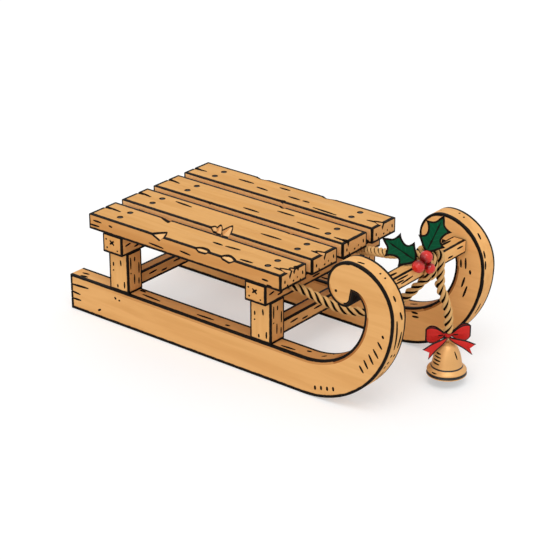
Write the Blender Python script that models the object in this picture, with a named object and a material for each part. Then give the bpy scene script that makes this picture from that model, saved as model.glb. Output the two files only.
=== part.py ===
"""Wooden sled with a plank seat, curled board runners, a pull rope, holly and a hanging bell.

Metres, +Z up, +X towards the curled front, +Y to the left.
The origin is on the ground, under the middle of the sled.
"""
import math

import bmesh
import bpy
from mathutils import Matrix, Vector

for item in list(bpy.data.objects):
    bpy.data.objects.remove(item, do_unlink=True)

# Clearances
FIT = 0.0003
BORE_CLEARANCE = 0.0003
WINDING_GAP = 0.0008
ROPE_PRESS = 0.92

# Seat slats
SLAT_COUNT = 4
SLAT_LENGTH = 0.500
SLAT_WIDTH = 0.080
SLAT_GAP = 0.018
SLAT_THICKNESS = 0.033
EDGE_ROUND = 0.002

# Bearers across the posts, under the slats
BEARER_WIDTH = 0.052
BEARER_HEIGHT = 0.041
BEARER_INSET = 0.063

# Posts and the stretchers between them
POST_HEIGHT = 0.089
POST_INSET = 0.016
STRETCHER_WIDTH = 0.030
STRETCHER_HEIGHT = 0.027
STRETCHER_LIFT = 0.002
TENON_WIDTH = 0.016
TENON_HEIGHT = 0.015
TENON_LENGTH = 0.009

# Runner boards
RUNNER_THICKNESS = 0.042
RUNNER_HEIGHT = 0.078
RUNNER_TAIL = 0.078
NOSE_REACH = 0.250
NOSE_RADIUS = 0.208
CURL_WIDTH = 0.064
CREST_RADIUS = 0.098
EYE_RADIUS = 0.054
EYE_DROP = 0.040
CHIN_RADIUS = 0.022
NOTCH_RISE = 0.036
NOTCH_AHEAD = 0.008
NOTCH_WIDTH = 0.002

# Crossbar between the two scrolls
CROSSBAR_WIDTH = 0.031
CROSSBAR_HEIGHT = 0.028
CROSSBAR_SETBACK = 0.040
CROSSBAR_DROP = 0.038
CROSSBAR_ROUND = 0.004

# Nails and dowels
NAIL_SPACING = 0.030
NAIL_SHIFT = {"rear": (0.001, 0.001, 0.011, 0.003), "front": (0.012, 0.007, 0.007, -0.008)}
NAIL_LENGTH = 0.055
NAIL_SHANK_RADIUS = 0.0016
NAIL_HEAD_RADIUS = 0.0056
NAIL_HEAD_HEIGHT = 0.0014
DOWEL_RADIUS = 0.007
DOWEL_DEPTH = 0.036
DOWEL_SINK = 0.001
END_DOWEL_RADIUS = 0.006
END_DOWEL_DEPTH = 0.025

# Rope
ROPE_DIAMETER = 0.015
ROPE_SPREAD = 0.111
KNOT_RADIUS = 0.0125
HITCH_START = -0.0147
HITCH_TURNS = 1.5
TAIL_GAP = 0.005
TAIL_DROP = 0.132

# Holly
CORE_RADIUS = 0.006
CORE_SIDE = -0.0305
CORE_ANGLE = math.radians(37)
BERRY_RADIUS = 0.0125
SMALL_BERRY_RADIUS = 0.0105
LEAF_LENGTH = 0.078
LEAF_HALF_WIDTH = 0.027
LEAF_THICKNESS = 0.0016
LEAF_FOLD = 0.20
PETIOLE_HALF_WIDTH = 0.0015

# Bow and bell
HANG_AHEAD = 0.021
HANG_SIDE = 0.0434
BOW_TURN = math.radians(-51)
BOW_KNOT_RADIUS = 0.006
LOOP_LENGTH = 0.038
LOOP_HALF_HEIGHT = 0.019
LOOP_HALF_DEPTH = 0.007
LOOP_LIFT = {"right": 0.000, "left": 0.008}
TAIL_REACH = {"right": (0.024, 0.044, 0.031), "left": (0.024, 0.047, 0.021)}
TAIL_HALF_WIDTH = 0.0105
TAIL_NOTCH = 0.18
RIBBON_THICKNESS = 0.0016
WIRE_RADIUS = 0.0012
RING_RADIUS = 0.0034
RING_CLEARANCE = 0.0004
KNOT_CLEARANCE = 0.0006
BELL_HEIGHT = 0.066
BELL_MOUTH_RADIUS = 0.040
BELL_WALL = 0.0028
COLLAR_RADIUS = 0.0032
CLAPPER_DROP = 0.018
CLAPPER_ROD_RADIUS = 0.0015
CLAPPER_BALL_RADIUS = 0.008
BALL_BELOW_LIP = 0.006

# Levels and places that follow from the sizes above
SEAT_WIDTH = SLAT_COUNT * SLAT_WIDTH + (SLAT_COUNT - 1) * SLAT_GAP
POST_TOP = RUNNER_HEIGHT + POST_HEIGHT
BEARER_TOP = POST_TOP + BEARER_HEIGHT
SEAT_TOP = BEARER_TOP + SLAT_THICKNESS
SLED_LENGTH = RUNNER_TAIL + SLAT_LENGTH + NOSE_REACH
REAR_X = -SLED_LENGTH / 2
FRONT_X = SLED_LENGTH / 2
SLAT_REAR_X = REAR_X + RUNNER_TAIL
SLAT_FRONT_X = SLAT_REAR_X + SLAT_LENGTH
BEARER_X = {"rear": SLAT_REAR_X + BEARER_INSET, "front": SLAT_FRONT_X - BEARER_INSET}
RUNNER_OUTER_Y = SEAT_WIDTH / 2 - POST_INSET
RUNNER_INNER_Y = RUNNER_OUTER_Y - RUNNER_THICKNESS
RUNNER_MIDDLE_Y = (RUNNER_OUTER_Y + RUNNER_INNER_Y) / 2
SIDES = {"right": -1, "left": 1}
ROPE_HOLE_Z = POST_TOP + BEARER_HEIGHT / 2
ROPE_RADIUS = ROPE_DIAMETER / 2
CROSSBAR_X = FRONT_X - CROSSBAR_SETBACK - CROSSBAR_WIDTH / 2
CROSSBAR_Z = NOSE_RADIUS + CREST_RADIUS - CROSSBAR_DROP - CROSSBAR_HEIGHT / 2
CROSSBAR_FRONT_X = CROSSBAR_X + CROSSBAR_WIDTH / 2
CROSSBAR_TOP = CROSSBAR_Z + CROSSBAR_HEIGHT / 2
CROSSBAR_BOTTOM = CROSSBAR_Z - CROSSBAR_HEIGHT / 2


def make_material(name, colour, roughness, metallic=0.0):
    material = bpy.data.materials.new(name)
    material.use_nodes = True
    shader = material.node_tree.nodes["Principled BSDF"]
    shader.inputs["Base Color"].default_value = (*colour, 1.0)
    shader.inputs["Roughness"].default_value = roughness
    shader.inputs["Metallic"].default_value = metallic
    return material


WOOD = make_material("tan_wood", (0.76, 0.41, 0.14), 0.6)
DARK_WOOD = make_material("dowel_wood", (0.55, 0.28, 0.09), 0.6)
IRON = make_material("black_iron", (0.02, 0.015, 0.012), 0.5, 1.0)
ROPE = make_material("jute_rope", (0.72, 0.42, 0.16), 0.9)
LEAF = make_material("holly_leaf", (0.005, 0.09, 0.04), 0.4)
BERRY = make_material("holly_berry", (0.66, 0.03, 0.02), 0.25)
RIBBON = make_material("red_ribbon", (0.64, 0.03, 0.02), 0.4)
BRASS = make_material("bell_brass", (0.76, 0.42, 0.15), 0.3, 1.0)


def link(name, mesh, material, place=None):
    """Put a mesh in the scene as one named piece."""
    mesh.materials.append(material)
    piece = bpy.data.objects.new(name, mesh)
    bpy.context.collection.objects.link(piece)
    if place is not None:
        piece.matrix_world = place
    return piece


def mesh_from(work, name):
    bmesh.ops.recalc_face_normals(work, faces=work.faces)
    mesh = bpy.data.meshes.new(name)
    work.to_mesh(mesh)
    work.free()
    return mesh


def smooth(piece, angle=35):
    piece.data.shade_smooth()
    piece.data.set_sharp_from_angle(angle=math.radians(angle))


def round_edges(piece, width, segments=1):
    bevel = piece.modifiers.new("edge_round", "BEVEL")
    bevel.width = width
    bevel.segments = segments
    bevel.limit_method = "ANGLE"
    bevel.angle_limit = math.radians(40)


def add_box(work, low, high):
    """Add a closed box between two corners."""
    size = Vector(high) - Vector(low)
    middle = (Vector(high) + Vector(low)) / 2
    matrix = Matrix.Translation(middle) @ Matrix.Diagonal((*size, 1.0))
    bmesh.ops.create_cube(work, size=1.0, matrix=matrix)


def add_rod(work, start, end, radius, sides=12):
    """Add a closed cylinder from one point to another."""
    start = Vector(start)
    end = Vector(end)
    along = end - start
    turn = along.to_track_quat("Z", "Y").to_matrix().to_4x4()
    matrix = Matrix.Translation((start + end) / 2) @ turn
    bmesh.ops.create_cone(work, cap_ends=True, segments=sides, radius1=radius, radius2=radius,
                          depth=along.length, matrix=matrix)


def board(name, low, high, material=WOOD, edge=EDGE_ROUND):
    work = bmesh.new()
    add_box(work, low, high)
    piece = link(name, mesh_from(work, name), material)
    round_edges(piece, edge)
    return piece


def cutter(name, work, place=None):
    """Turn a working mesh into a hidden cutting body."""
    tool = link(name, mesh_from(work, name), WOOD, place)
    tool.hide_render = True
    tool.display_type = "WIRE"
    return tool


def combine(piece, tool, operation):
    modifier = piece.modifiers.new(operation.lower(), "BOOLEAN")
    modifier.operation = operation
    modifier.solver = "EXACT"
    modifier.object = tool


def turned(profile, sides):
    """Spin a closed (radius, height) outline about Z."""
    work = bmesh.new()
    ring = [work.verts.new((radius, 0, height)) for radius, height in profile]
    edges = [work.edges.new((ring[i], ring[i - 1])) for i in range(len(ring))]
    bmesh.ops.spin(work, geom=ring + edges, cent=(0, 0, 0), axis=(0, 0, 1),
                   angle=math.tau, steps=sides, use_merge=True)
    bmesh.ops.remove_doubles(work, verts=work.verts, dist=1e-6)
    thin = [face for face in work.faces if face.calc_area() < 1e-14]
    bmesh.ops.delete(work, geom=thin, context="FACES")
    return work


def add_ring(work, centre, radius, wire, axis, turns=16, sides=8):
    """Add a torus with its hole along the axis."""
    turn = Vector(axis).to_track_quat("Z", "Y").to_matrix()
    rows = []
    for i in range(turns):
        around = math.tau * i / turns
        row = []
        for j in range(sides):
            across = math.tau * j / sides
            reach = radius + wire * math.cos(across)
            spot = Vector((reach * math.cos(around), reach * math.sin(around), wire * math.sin(across)))
            row.append(work.verts.new(turn @ spot + Vector(centre)))
        rows.append(row)
    for i in range(turns):
        for j in range(sides):
            k = (j + 1) % sides
            work.faces.new((rows[i - 1][j], rows[i][j], rows[i][k], rows[i - 1][k]))


def smooth_route(stops, step):
    """Points about a step apart on a smooth curve through the stops."""
    stops = [Vector(stop) for stop in stops]
    ends = [2 * stops[0] - stops[1]] + stops + [2 * stops[-1] - stops[-2]]
    points = [stops[0]]
    for a, b, c, d in zip(ends, ends[1:], ends[2:], ends[3:]):
        count = max(1, round((c - b).length / step))
        for i in range(1, count + 1):
            t = i / count
            points.append(0.5 * (2 * b + (c - a) * t + (2 * a - 5 * b + 4 * c - d) * t ** 2
                                 + (3 * b - a - 3 * c + d) * t ** 3))
    return points


def tube(name, points, radius, material, resolution=2):
    curve = bpy.data.curves.new(name, "CURVE")
    curve.dimensions = "3D"
    curve.bevel_depth = radius
    curve.bevel_resolution = resolution
    curve.use_fill_caps = True
    spline = curve.splines.new("POLY")
    spline.points.add(len(points) - 1)
    for slot, point in zip(spline.points, points):
        slot.co = (*point, 1.0)
    curve.materials.append(material)
    piece = bpy.data.objects.new(name, curve)
    bpy.context.collection.objects.link(piece)
    return piece


def arc(centre_x, centre_z, radius_x, radius_z, start, end, steps):
    """Points on an elliptic arc, by angle in degrees, both ends included."""
    points = []
    for i in range(steps + 1):
        angle = math.radians(start + (end - start) * i / steps)
        points.append((centre_x + radius_x * math.cos(angle), centre_z + radius_z * math.sin(angle)))
    return points


# Runners: each is one thick board, sawn to a scroll at the front
def runner_outline():
    """Outline in X and Z, from the rear bottom corner round the nose to the scroll's eye and back."""
    nose_x = FRONT_X - NOSE_RADIUS
    crest_x = FRONT_X - CREST_RADIUS
    eye_z = NOSE_RADIUS + CREST_RADIUS - EYE_RADIUS
    eye_rear_x = crest_x - EYE_RADIUS
    notch_x = crest_x + NOTCH_AHEAD
    chin_x = notch_x - NOTCH_WIDTH - CHIN_RADIUS
    inner_x = FRONT_X - CURL_WIDTH
    chin_z = eye_z - EYE_DROP
    points = [(REAR_X, 0.0)]
    points += arc(nose_x, NOSE_RADIUS, NOSE_RADIUS, NOSE_RADIUS, -90, 0, 14)
    points += arc(crest_x, NOSE_RADIUS, CREST_RADIUS, CREST_RADIUS, 0, 90, 9)[1:]
    points += arc(crest_x, eye_z, EYE_RADIUS, EYE_RADIUS, 90, 180, 7)[1:]
    points += arc(chin_x, eye_z, chin_x - eye_rear_x, EYE_DROP, 180, 270, 6)[1:]
    points += arc(chin_x, chin_z + CHIN_RADIUS, CHIN_RADIUS, CHIN_RADIUS, 270, 360, 5)[1:]
    points += arc(notch_x, NOSE_RADIUS, inner_x - notch_x, NOTCH_RISE, 90, 0, 6)
    points += arc(nose_x, NOSE_RADIUS, inner_x - nose_x, NOSE_RADIUS - RUNNER_HEIGHT, 0, -90, 12)[1:]
    points += [(REAR_X, RUNNER_HEIGHT)]
    return points


def make_runner(side, sign):
    name = "runner_" + side
    near = RUNNER_INNER_Y * sign
    far = RUNNER_OUTER_Y * sign
    work = bmesh.new()
    face = work.faces.new([work.verts.new((x, near, z)) for x, z in runner_outline()])
    grown = bmesh.ops.extrude_face_region(work, geom=[face])
    raised = [part for part in grown["geom"] if isinstance(part, bmesh.types.BMVert)]
    bmesh.ops.translate(work, verts=raised, vec=(0, far - near, 0))
    piece = link(name, mesh_from(work, name), WOOD)
    bores = bmesh.new()
    for x in BEARER_X.values():
        add_rod(bores, (x, RUNNER_MIDDLE_Y * sign, RUNNER_HEIGHT - DOWEL_DEPTH - BORE_CLEARANCE),
                (x, RUNNER_MIDDLE_Y * sign, RUNNER_HEIGHT + DOWEL_RADIUS), DOWEL_RADIUS + BORE_CLEARANCE)
    add_rod(bores, (CROSSBAR_X, near + sign * (END_DOWEL_DEPTH + BORE_CLEARANCE), CROSSBAR_Z),
            (CROSSBAR_X, near - sign * END_DOWEL_RADIUS, CROSSBAR_Z), END_DOWEL_RADIUS + BORE_CLEARANCE)
    combine(piece, cutter(name + "_bores", bores), "DIFFERENCE")
    return piece


for side, sign in SIDES.items():
    make_runner(side, sign)


# Posts: square blocks that stand on the runners, bored for a long dowel, mortised for the stretchers
def make_post(end, side, sign):
    name = "post_" + end + "_" + side
    x = BEARER_X[end]
    inner = RUNNER_INNER_Y * sign
    outer = RUNNER_OUTER_Y * sign
    low = (x - BEARER_WIDTH / 2, min(inner, outer), RUNNER_HEIGHT + FIT)
    high = (x + BEARER_WIDTH / 2, max(inner, outer), POST_TOP - FIT)
    piece = board(name, low, high)
    cuts = bmesh.new()
    middle = RUNNER_MIDDLE_Y * sign
    add_rod(cuts, (x, middle, RUNNER_HEIGHT - DOWEL_RADIUS), (x, middle, POST_TOP + DOWEL_RADIUS),
            DOWEL_RADIUS + BORE_CLEARANCE)
    combine(piece, cutter(name + "_bore", cuts), "DIFFERENCE")
    mortise = bmesh.new()
    half_width = TENON_WIDTH / 2 + BORE_CLEARANCE
    half_height = TENON_HEIGHT / 2 + BORE_CLEARANCE
    floor = inner + sign * (TENON_LENGTH + BORE_CLEARANCE)
    mouth = inner - sign * TENON_LENGTH
    add_box(mortise, (x - half_width, min(floor, mouth), STRETCHER_Z - half_height),
            (x + half_width, max(floor, mouth), STRETCHER_Z + half_height))
    combine(piece, cutter(name + "_mortise", mortise), "DIFFERENCE")
    return piece


STRETCHER_Z = RUNNER_HEIGHT + STRETCHER_LIFT + STRETCHER_HEIGHT / 2

for end in BEARER_X:
    for side, sign in SIDES.items():
        make_post(end, side, sign)


# Stretchers: low rails between each pair of posts, with a stub tenon at each end
def make_stretcher(end):
    name = "stretcher_" + end
    x = BEARER_X[end]
    reach = RUNNER_INNER_Y - FIT
    low = (x - STRETCHER_WIDTH / 2, -reach, STRETCHER_Z - STRETCHER_HEIGHT / 2)
    high = (x + STRETCHER_WIDTH / 2, reach, STRETCHER_Z + STRETCHER_HEIGHT / 2)
    piece = board(name, low, high)
    tenon = bmesh.new()
    tip = RUNNER_INNER_Y + TENON_LENGTH
    add_box(tenon, (x - TENON_WIDTH / 2, -tip, STRETCHER_Z - TENON_HEIGHT / 2),
            (x + TENON_WIDTH / 2, tip, STRETCHER_Z + TENON_HEIGHT / 2))
    combine(piece, cutter(name + "_tenons", tenon), "UNION")


for end in BEARER_X:
    make_stretcher(end)


# Nail places: two at each end of each slat, over the middle of a bearer
def slat_middle(index):
    return -SEAT_WIDTH / 2 + SLAT_WIDTH / 2 + index * (SLAT_WIDTH + SLAT_GAP)


def nail_rows(index):
    middle = slat_middle(index)
    return (middle - NAIL_SPACING / 2, middle + NAIL_SPACING / 2)


def nail_line(end, index):
    """Where a slat's two nails stand along the sled: near the bearer's middle, as a hand drives them."""
    return BEARER_X[end] + NAIL_SHIFT[end][index]


# Bearers: cross rails on the posts, bored for dowels and nails, the front one for the rope too
def make_bearer(end):
    name = "bearer_" + end
    x = BEARER_X[end]
    low = (x - BEARER_WIDTH / 2, -SEAT_WIDTH / 2, POST_TOP)
    high = (x + BEARER_WIDTH / 2, SEAT_WIDTH / 2, BEARER_TOP - FIT)
    piece = board(name, low, high)
    bores = bmesh.new()
    for sign in SIDES.values():
        y = RUNNER_MIDDLE_Y * sign
        add_rod(bores, (x, y, POST_TOP - DOWEL_RADIUS), (x, y, BEARER_TOP + DOWEL_RADIUS),
                DOWEL_RADIUS + BORE_CLEARANCE)
        if end == "front":
            y = ROPE_SPREAD * sign
            add_rod(bores, (x - BEARER_WIDTH, y, ROPE_HOLE_Z), (x + BEARER_WIDTH, y, ROPE_HOLE_Z),
                    ROPE_RADIUS + BORE_CLEARANCE)
    nail_tip = SEAT_TOP - NAIL_LENGTH - BORE_CLEARANCE
    for index in range(SLAT_COUNT):
        nail_x = nail_line(end, index)
        for y in nail_rows(index):
            add_rod(bores, (nail_x, y, nail_tip), (nail_x, y, BEARER_TOP + SLAT_THICKNESS),
                    NAIL_SHANK_RADIUS + BORE_CLEARANCE, 8)
    combine(piece, cutter(name + "_bores", bores), "DIFFERENCE")


for end in BEARER_X:
    make_bearer(end)


# Slats: four boards along the sled, nailed down at both ends
def make_slat(index):
    name = "seat_slat_%d" % (index + 1)
    middle = slat_middle(index)
    piece = board(name, (SLAT_REAR_X, middle - SLAT_WIDTH / 2, BEARER_TOP),
                  (SLAT_FRONT_X, middle + SLAT_WIDTH / 2, SEAT_TOP))
    holes = bmesh.new()
    for x in (nail_line(end, index) for end in BEARER_X):
        for y in nail_rows(index):
            add_rod(holes, (x, y, BEARER_TOP - SLAT_THICKNESS), (x, y, SEAT_TOP + SLAT_THICKNESS),
                    NAIL_SHANK_RADIUS + BORE_CLEARANCE, 8)
    combine(piece, cutter(name + "_holes", holes), "DIFFERENCE")
    sinks = bmesh.new()
    floor = SEAT_TOP - NAIL_HEAD_HEIGHT - 2 * FIT
    for x in (nail_line(end, index) for end in BEARER_X):
        for y in nail_rows(index):
            add_rod(sinks, (x, y, floor), (x, y, SEAT_TOP + NAIL_HEAD_HEIGHT),
                    NAIL_HEAD_RADIUS + BORE_CLEARANCE, 8)
    combine(piece, cutter(name + "_sinks", sinks), "DIFFERENCE")


for index in range(SLAT_COUNT):
    make_slat(index)


# Nails: a flat head driven flush with the slat and a shank down into the bearer
def nail_mesh():
    """One nail, with its top at the height of the slats' upper face."""
    head = NAIL_HEAD_RADIUS
    rise = NAIL_HEAD_HEIGHT
    under = -FIT - rise
    profile = [(0, -NAIL_LENGTH), (NAIL_SHANK_RADIUS, -NAIL_LENGTH + NAIL_SHANK_RADIUS * 2),
               (NAIL_SHANK_RADIUS, under), (head, under), (head, under + rise / 2),
               (head * 0.8, -FIT), (0, -FIT)]
    mesh = mesh_from(turned(profile, 8), "nail")
    mesh.materials.append(IRON)
    mesh.shade_smooth()
    mesh.set_sharp_from_angle(angle=math.radians(40))
    return mesh


NAIL_MESH = nail_mesh()
for index in range(SLAT_COUNT):
    for end in BEARER_X:
        for place, y in zip(("right", "left"), nail_rows(index)):
            nail = bpy.data.objects.new("nail_%d_%s_%s" % (index + 1, end, place), NAIL_MESH)
            nail.location = (nail_line(end, index), y, SEAT_TOP)
            bpy.context.collection.objects.link(nail)


# Crossbar: a square bar with eased edges between the scrolls, held by a blind dowel at each end
def make_crossbar():
    reach = RUNNER_INNER_Y - FIT
    piece = board("crossbar", (CROSSBAR_X - CROSSBAR_WIDTH / 2, -reach, CROSSBAR_BOTTOM),
                  (CROSSBAR_FRONT_X, reach, CROSSBAR_TOP), edge=CROSSBAR_ROUND)
    piece.modifiers["edge_round"].segments = 2
    bores = bmesh.new()
    for sign in SIDES.values():
        add_rod(bores, (CROSSBAR_X, sign * (RUNNER_INNER_Y - END_DOWEL_DEPTH - BORE_CLEARANCE), CROSSBAR_Z),
                (CROSSBAR_X, sign * (RUNNER_INNER_Y + END_DOWEL_RADIUS), CROSSBAR_Z),
                END_DOWEL_RADIUS + BORE_CLEARANCE)
    combine(piece, cutter("crossbar_bores", bores), "DIFFERENCE")


def make_dowel(name, start, end, radius):
    work = bmesh.new()
    add_rod(work, start, end, radius)
    smooth(link(name, mesh_from(work, name), DARK_WOOD))


make_crossbar()
for side, sign in SIDES.items():
    make_dowel("crossbar_dowel_" + side,
               (CROSSBAR_X, sign * (RUNNER_INNER_Y - END_DOWEL_DEPTH), CROSSBAR_Z),
               (CROSSBAR_X, sign * (RUNNER_INNER_Y + END_DOWEL_DEPTH), CROSSBAR_Z), END_DOWEL_RADIUS)
    for end, x in BEARER_X.items():
        y = RUNNER_MIDDLE_Y * sign
        make_dowel("corner_dowel_" + end + "_" + side, (x, y, RUNNER_HEIGHT - DOWEL_DEPTH),
                   (x, y, BEARER_TOP - DOWEL_SINK), DOWEL_RADIUS)


# Rope anchors: the rope's end in each bearer hole, with a stopper knot behind the bearer
def make_anchor(side, sign):
    name = "rope_anchor_" + side
    half = BEARER_WIDTH / 2
    knot = KNOT_RADIUS
    seat = math.sqrt(knot ** 2 - ROPE_RADIUS ** 2)
    stub = [(0, half), (ROPE_RADIUS, half), (ROPE_RADIUS, -half - FIT)]
    ball = [(knot * math.sin(angle), -half - FIT - seat / 2 - knot * 0.5 + seat * 0.5 * math.cos(angle))
            for angle in (math.radians(step) for step in (40, 65, 90, 115, 140))]
    profile = stub + ball + [(0, ball[-1][1] - knot * 0.1)]
    place = Matrix.Translation((BEARER_X["front"], ROPE_SPREAD * sign, ROPE_HOLE_Z))
    turn = Matrix.Rotation(math.radians(90), 4, "Y")
    smooth(link(name, mesh_from(turned(profile, 12), name), ROPE, place @ turn))


for side, sign in SIDES.items():
    make_anchor(side, sign)


# Hitch: the rope's turns round the crossbar, one unbroken tube, led in from below and out to the rear
WRAP_STEP = 30
WRAP_REACH = (CROSSBAR_ROUND + ROPE_RADIUS * ROPE_PRESS + FIT) / math.cos(math.radians(WRAP_STEP / 2))
WRAP_OFFSET = WRAP_REACH - CROSSBAR_ROUND
WRAP_PITCH = ROPE_DIAMETER + WINDING_GAP


def wrap_loop():
    """One turn round the crossbar as 24 offsets in X and Z, from the front bottom corner upwards."""
    flat_x = CROSSBAR_WIDTH / 2 - CROSSBAR_ROUND
    flat_z = CROSSBAR_HEIGHT / 2 - CROSSBAR_ROUND
    corners = ((1, -1, 0), (1, 1, 90), (-1, 1, 180), (-1, -1, 270))
    loop = []
    for i, (across, up, finish) in enumerate(corners):
        bend = arc(flat_x * across, flat_z * up, WRAP_REACH, WRAP_REACH, finish - 90, finish, 90 // WRAP_STEP)
        after = corners[(i + 1) % 4]
        turn = math.radians(finish)
        end_x = flat_x * after[0] + WRAP_REACH * math.cos(turn)
        end_z = flat_z * after[1] + WRAP_REACH * math.sin(turn)
        loop += bend
        for share in (1 / 3, 2 / 3):
            loop.append((bend[-1][0] + (end_x - bend[-1][0]) * share, bend[-1][1] + (end_z - bend[-1][1]) * share))
    return loop


def hitch_points():
    """The turns themselves, with a straight lead at each end in the direction that the rope pulls."""
    loop = wrap_loop()
    first = 1
    last = first + round(HITCH_TURNS * len(loop))
    points = []
    for i in range(first, last + 1):
        x, z = loop[i % len(loop)]
        y = HITCH_START + WRAP_PITCH * (i - first) / len(loop)
        points.append(Vector((CROSSBAR_X + x, y, CROSSBAR_Z + z)))
    rise = Vector((0.62, 0.25, 0.74)).normalized()
    fall = Vector((-0.90, 0.25, -0.40)).normalized()
    lead_in = [points[0] - rise * ROPE_DIAMETER * share for share in (1.6, 0.8)]
    lead_out = [points[-1] + fall * ROPE_DIAMETER * share for share in (0.8, 1.6)]
    return lead_in + points + lead_out


def least_gap(points, radius, skip):
    """Smallest clear distance between parts of a tube that are more than some points apart."""
    nearest = min((a - b).length for i, a in enumerate(points) for b in points[i + skip:])
    return nearest - 2 * radius


HITCH = hitch_points()
tube("rope_hitch", HITCH, ROPE_RADIUS, ROPE, 1)
print("rope_hitch least gap to itself, mm: %.2f" % (1000 * least_gap(HITCH, ROPE_RADIUS, 12)))

# Tail turn: one flat turn beside the hitch that carries the hanging tail
TAIL_Y = HITCH[-3].y + ROPE_DIAMETER + TAIL_GAP
TAIL_X = CROSSBAR_FRONT_X + WRAP_OFFSET


def tail_turn_points():
    loop = wrap_loop()
    flat = loop[4:6]
    order = loop[18:24][::-1] + loop[12:18][::-1] + loop[6:12][::-1]
    points = [Vector((TAIL_X - ROPE_RADIUS - FIT, TAIL_Y, CROSSBAR_BOTTOM - WRAP_OFFSET))]
    points += [Vector((CROSSBAR_X + x, TAIL_Y, CROSSBAR_Z + z)) for x, z in order]
    points += [Vector((CROSSBAR_X + x, TAIL_Y, CROSSBAR_Z + z)) for x, z in flat[::-1]]
    points.append(Vector((TAIL_X, TAIL_Y, CROSSBAR_BOTTOM)))
    points.append(Vector((TAIL_X, TAIL_Y, CROSSBAR_BOTTOM - ROPE_DIAMETER - ROPE_RADIUS)))
    return points


TAIL_TURN = tail_turn_points()
tube("rope_tail_turn", TAIL_TURN, ROPE_RADIUS, ROPE, 1)


# Free ropes: two pulls from the bearer to the hitch and the tail that carries bow and bell
def rope_end(points, towards):
    """The point a hair beyond a rope's end, in the direction that it leaves."""
    return Vector(points) + (Vector(points) - Vector(towards)).normalized() * FIT


BEARER_FACE_X = BEARER_X["front"] + BEARER_WIDTH / 2 + FIT


def right_rope_stops():
    start = Vector((BEARER_FACE_X, -ROPE_SPREAD, ROPE_HOLE_Z))
    end = rope_end(HITCH[0], HITCH[1])
    approach = (HITCH[0] - HITCH[1]).normalized()
    sag = ((0.010, 0, 0), (0.036, 0.016, -0.015), (0.054, 0.025, -0.025), (0.072, 0.034, -0.034),
           (0.090, 0.042, -0.041), (0.110, 0.051, -0.044), (0.135, 0.061, -0.042), (0.163, 0.070, -0.032),
           (0.191, 0.077, -0.016))
    return [start] + [start + Vector(step) for step in sag] + [end + approach * 0.026, end]


def left_rope_stops():
    start = Vector((BEARER_FACE_X, ROPE_SPREAD, ROPE_HOLE_Z))
    end = rope_end(HITCH[-1], HITCH[-2])
    leave = (HITCH[-1] - HITCH[-2]).normalized()
    return [start, start + Vector((0.010, 0, 0)),
            start.lerp(end, 0.35) + Vector((0, 0, -0.004)), start.lerp(end, 0.65) + Vector((0, 0, -0.006)),
            end + leave * 0.022, end]


HANG_X = CROSSBAR_FRONT_X + HANG_AHEAD
HANG_Y = HANG_SIDE
BOW_Z = CROSSBAR_BOTTOM - TAIL_DROP - BOW_KNOT_RADIUS - FIT


def tail_stops():
    start = Vector((TAIL_X, TAIL_Y, CROSSBAR_BOTTOM - ROPE_DIAMETER - ROPE_RADIUS - FIT))
    end = Vector((HANG_X, HANG_Y, BOW_Z + BOW_KNOT_RADIUS + FIT))
    lean = Vector((end.x - start.x, end.y - start.y, 0))
    drop = end.z - start.z
    return [start, start + Vector((0, 0, drop * 0.10)), start + lean * 0.45 + Vector((0, 0, drop * 0.32)),
            start + lean * 0.86 + Vector((0, 0, drop * 0.58)), end + Vector((0, 0, -drop * 0.20)), end]


for name, stops in (("rope_right", right_rope_stops()), ("rope_left", left_rope_stops()),
                    ("rope_tail", tail_stops())):
    tube(name, smooth_route(stops, 2 * ROPE_DIAMETER), ROPE_RADIUS, ROPE, 2)


# Holly: a small core on the crossbar's front edge, three berries round it and two spiny leaves
CORE_REACH = CROSSBAR_ROUND + FIT + CORE_RADIUS
CORE = Vector((CROSSBAR_FRONT_X - CROSSBAR_ROUND + CORE_REACH * math.cos(CORE_ANGLE), CORE_SIDE,
               CROSSBAR_TOP - CROSSBAR_ROUND + CORE_REACH * math.sin(CORE_ANGLE)))
BERRY_PLACES = {
    "holly_berry_top": (BERRY_RADIUS, (0.38, 0.21, 0.90)),
    "holly_berry_right": (BERRY_RADIUS, (0.25, -0.94, 0.23)),
    "holly_berry_front": (SMALL_BERRY_RADIUS, (0.90, 0.34, -0.28)),
}


# Each leaf: where its blade starts, from the core, and the way that its midrib runs
LEAVES = {
    "holly_leaf_rear": ((-0.0175, -0.0057, 0.0102), (-0.831, -0.270, 0.488)),
    "holly_leaf_upright": ((-0.0060, 0.0227, 0.0164), (0.113, 0.563, 0.811)),
}
LEAF_FACING = (0.568, -0.711, 0.414)


def ball(name, centre, radius, material, divisions=3):
    work = bmesh.new()
    bmesh.ops.create_icosphere(work, subdivisions=divisions, radius=radius)
    piece = link(name, mesh_from(work, name), material, Matrix.Translation(centre))
    piece.data.shade_smooth()
    return piece


ball("holly_core", CORE, CORE_RADIUS, LEAF)
for name, (radius, way) in BERRY_PLACES.items():
    ball(name, CORE + Vector(way).normalized() * (CORE_RADIUS + radius + FIT), radius, BERRY)


def leaf_rows():
    """Stations along the blade: distance from its foot, and half width, with two spines a side."""
    shares = [(0.0, 0.0), (0.16, 0.62), (0.30, 1.00), (0.40, 0.60), (0.55, 0.66),
              (0.70, 0.98), (0.78, 0.42), (0.90, 0.20), (1.0, 0.02)]
    return [(along * LEAF_LENGTH, across * LEAF_HALF_WIDTH + PETIOLE_HALF_WIDTH) for along, across in shares]


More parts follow.
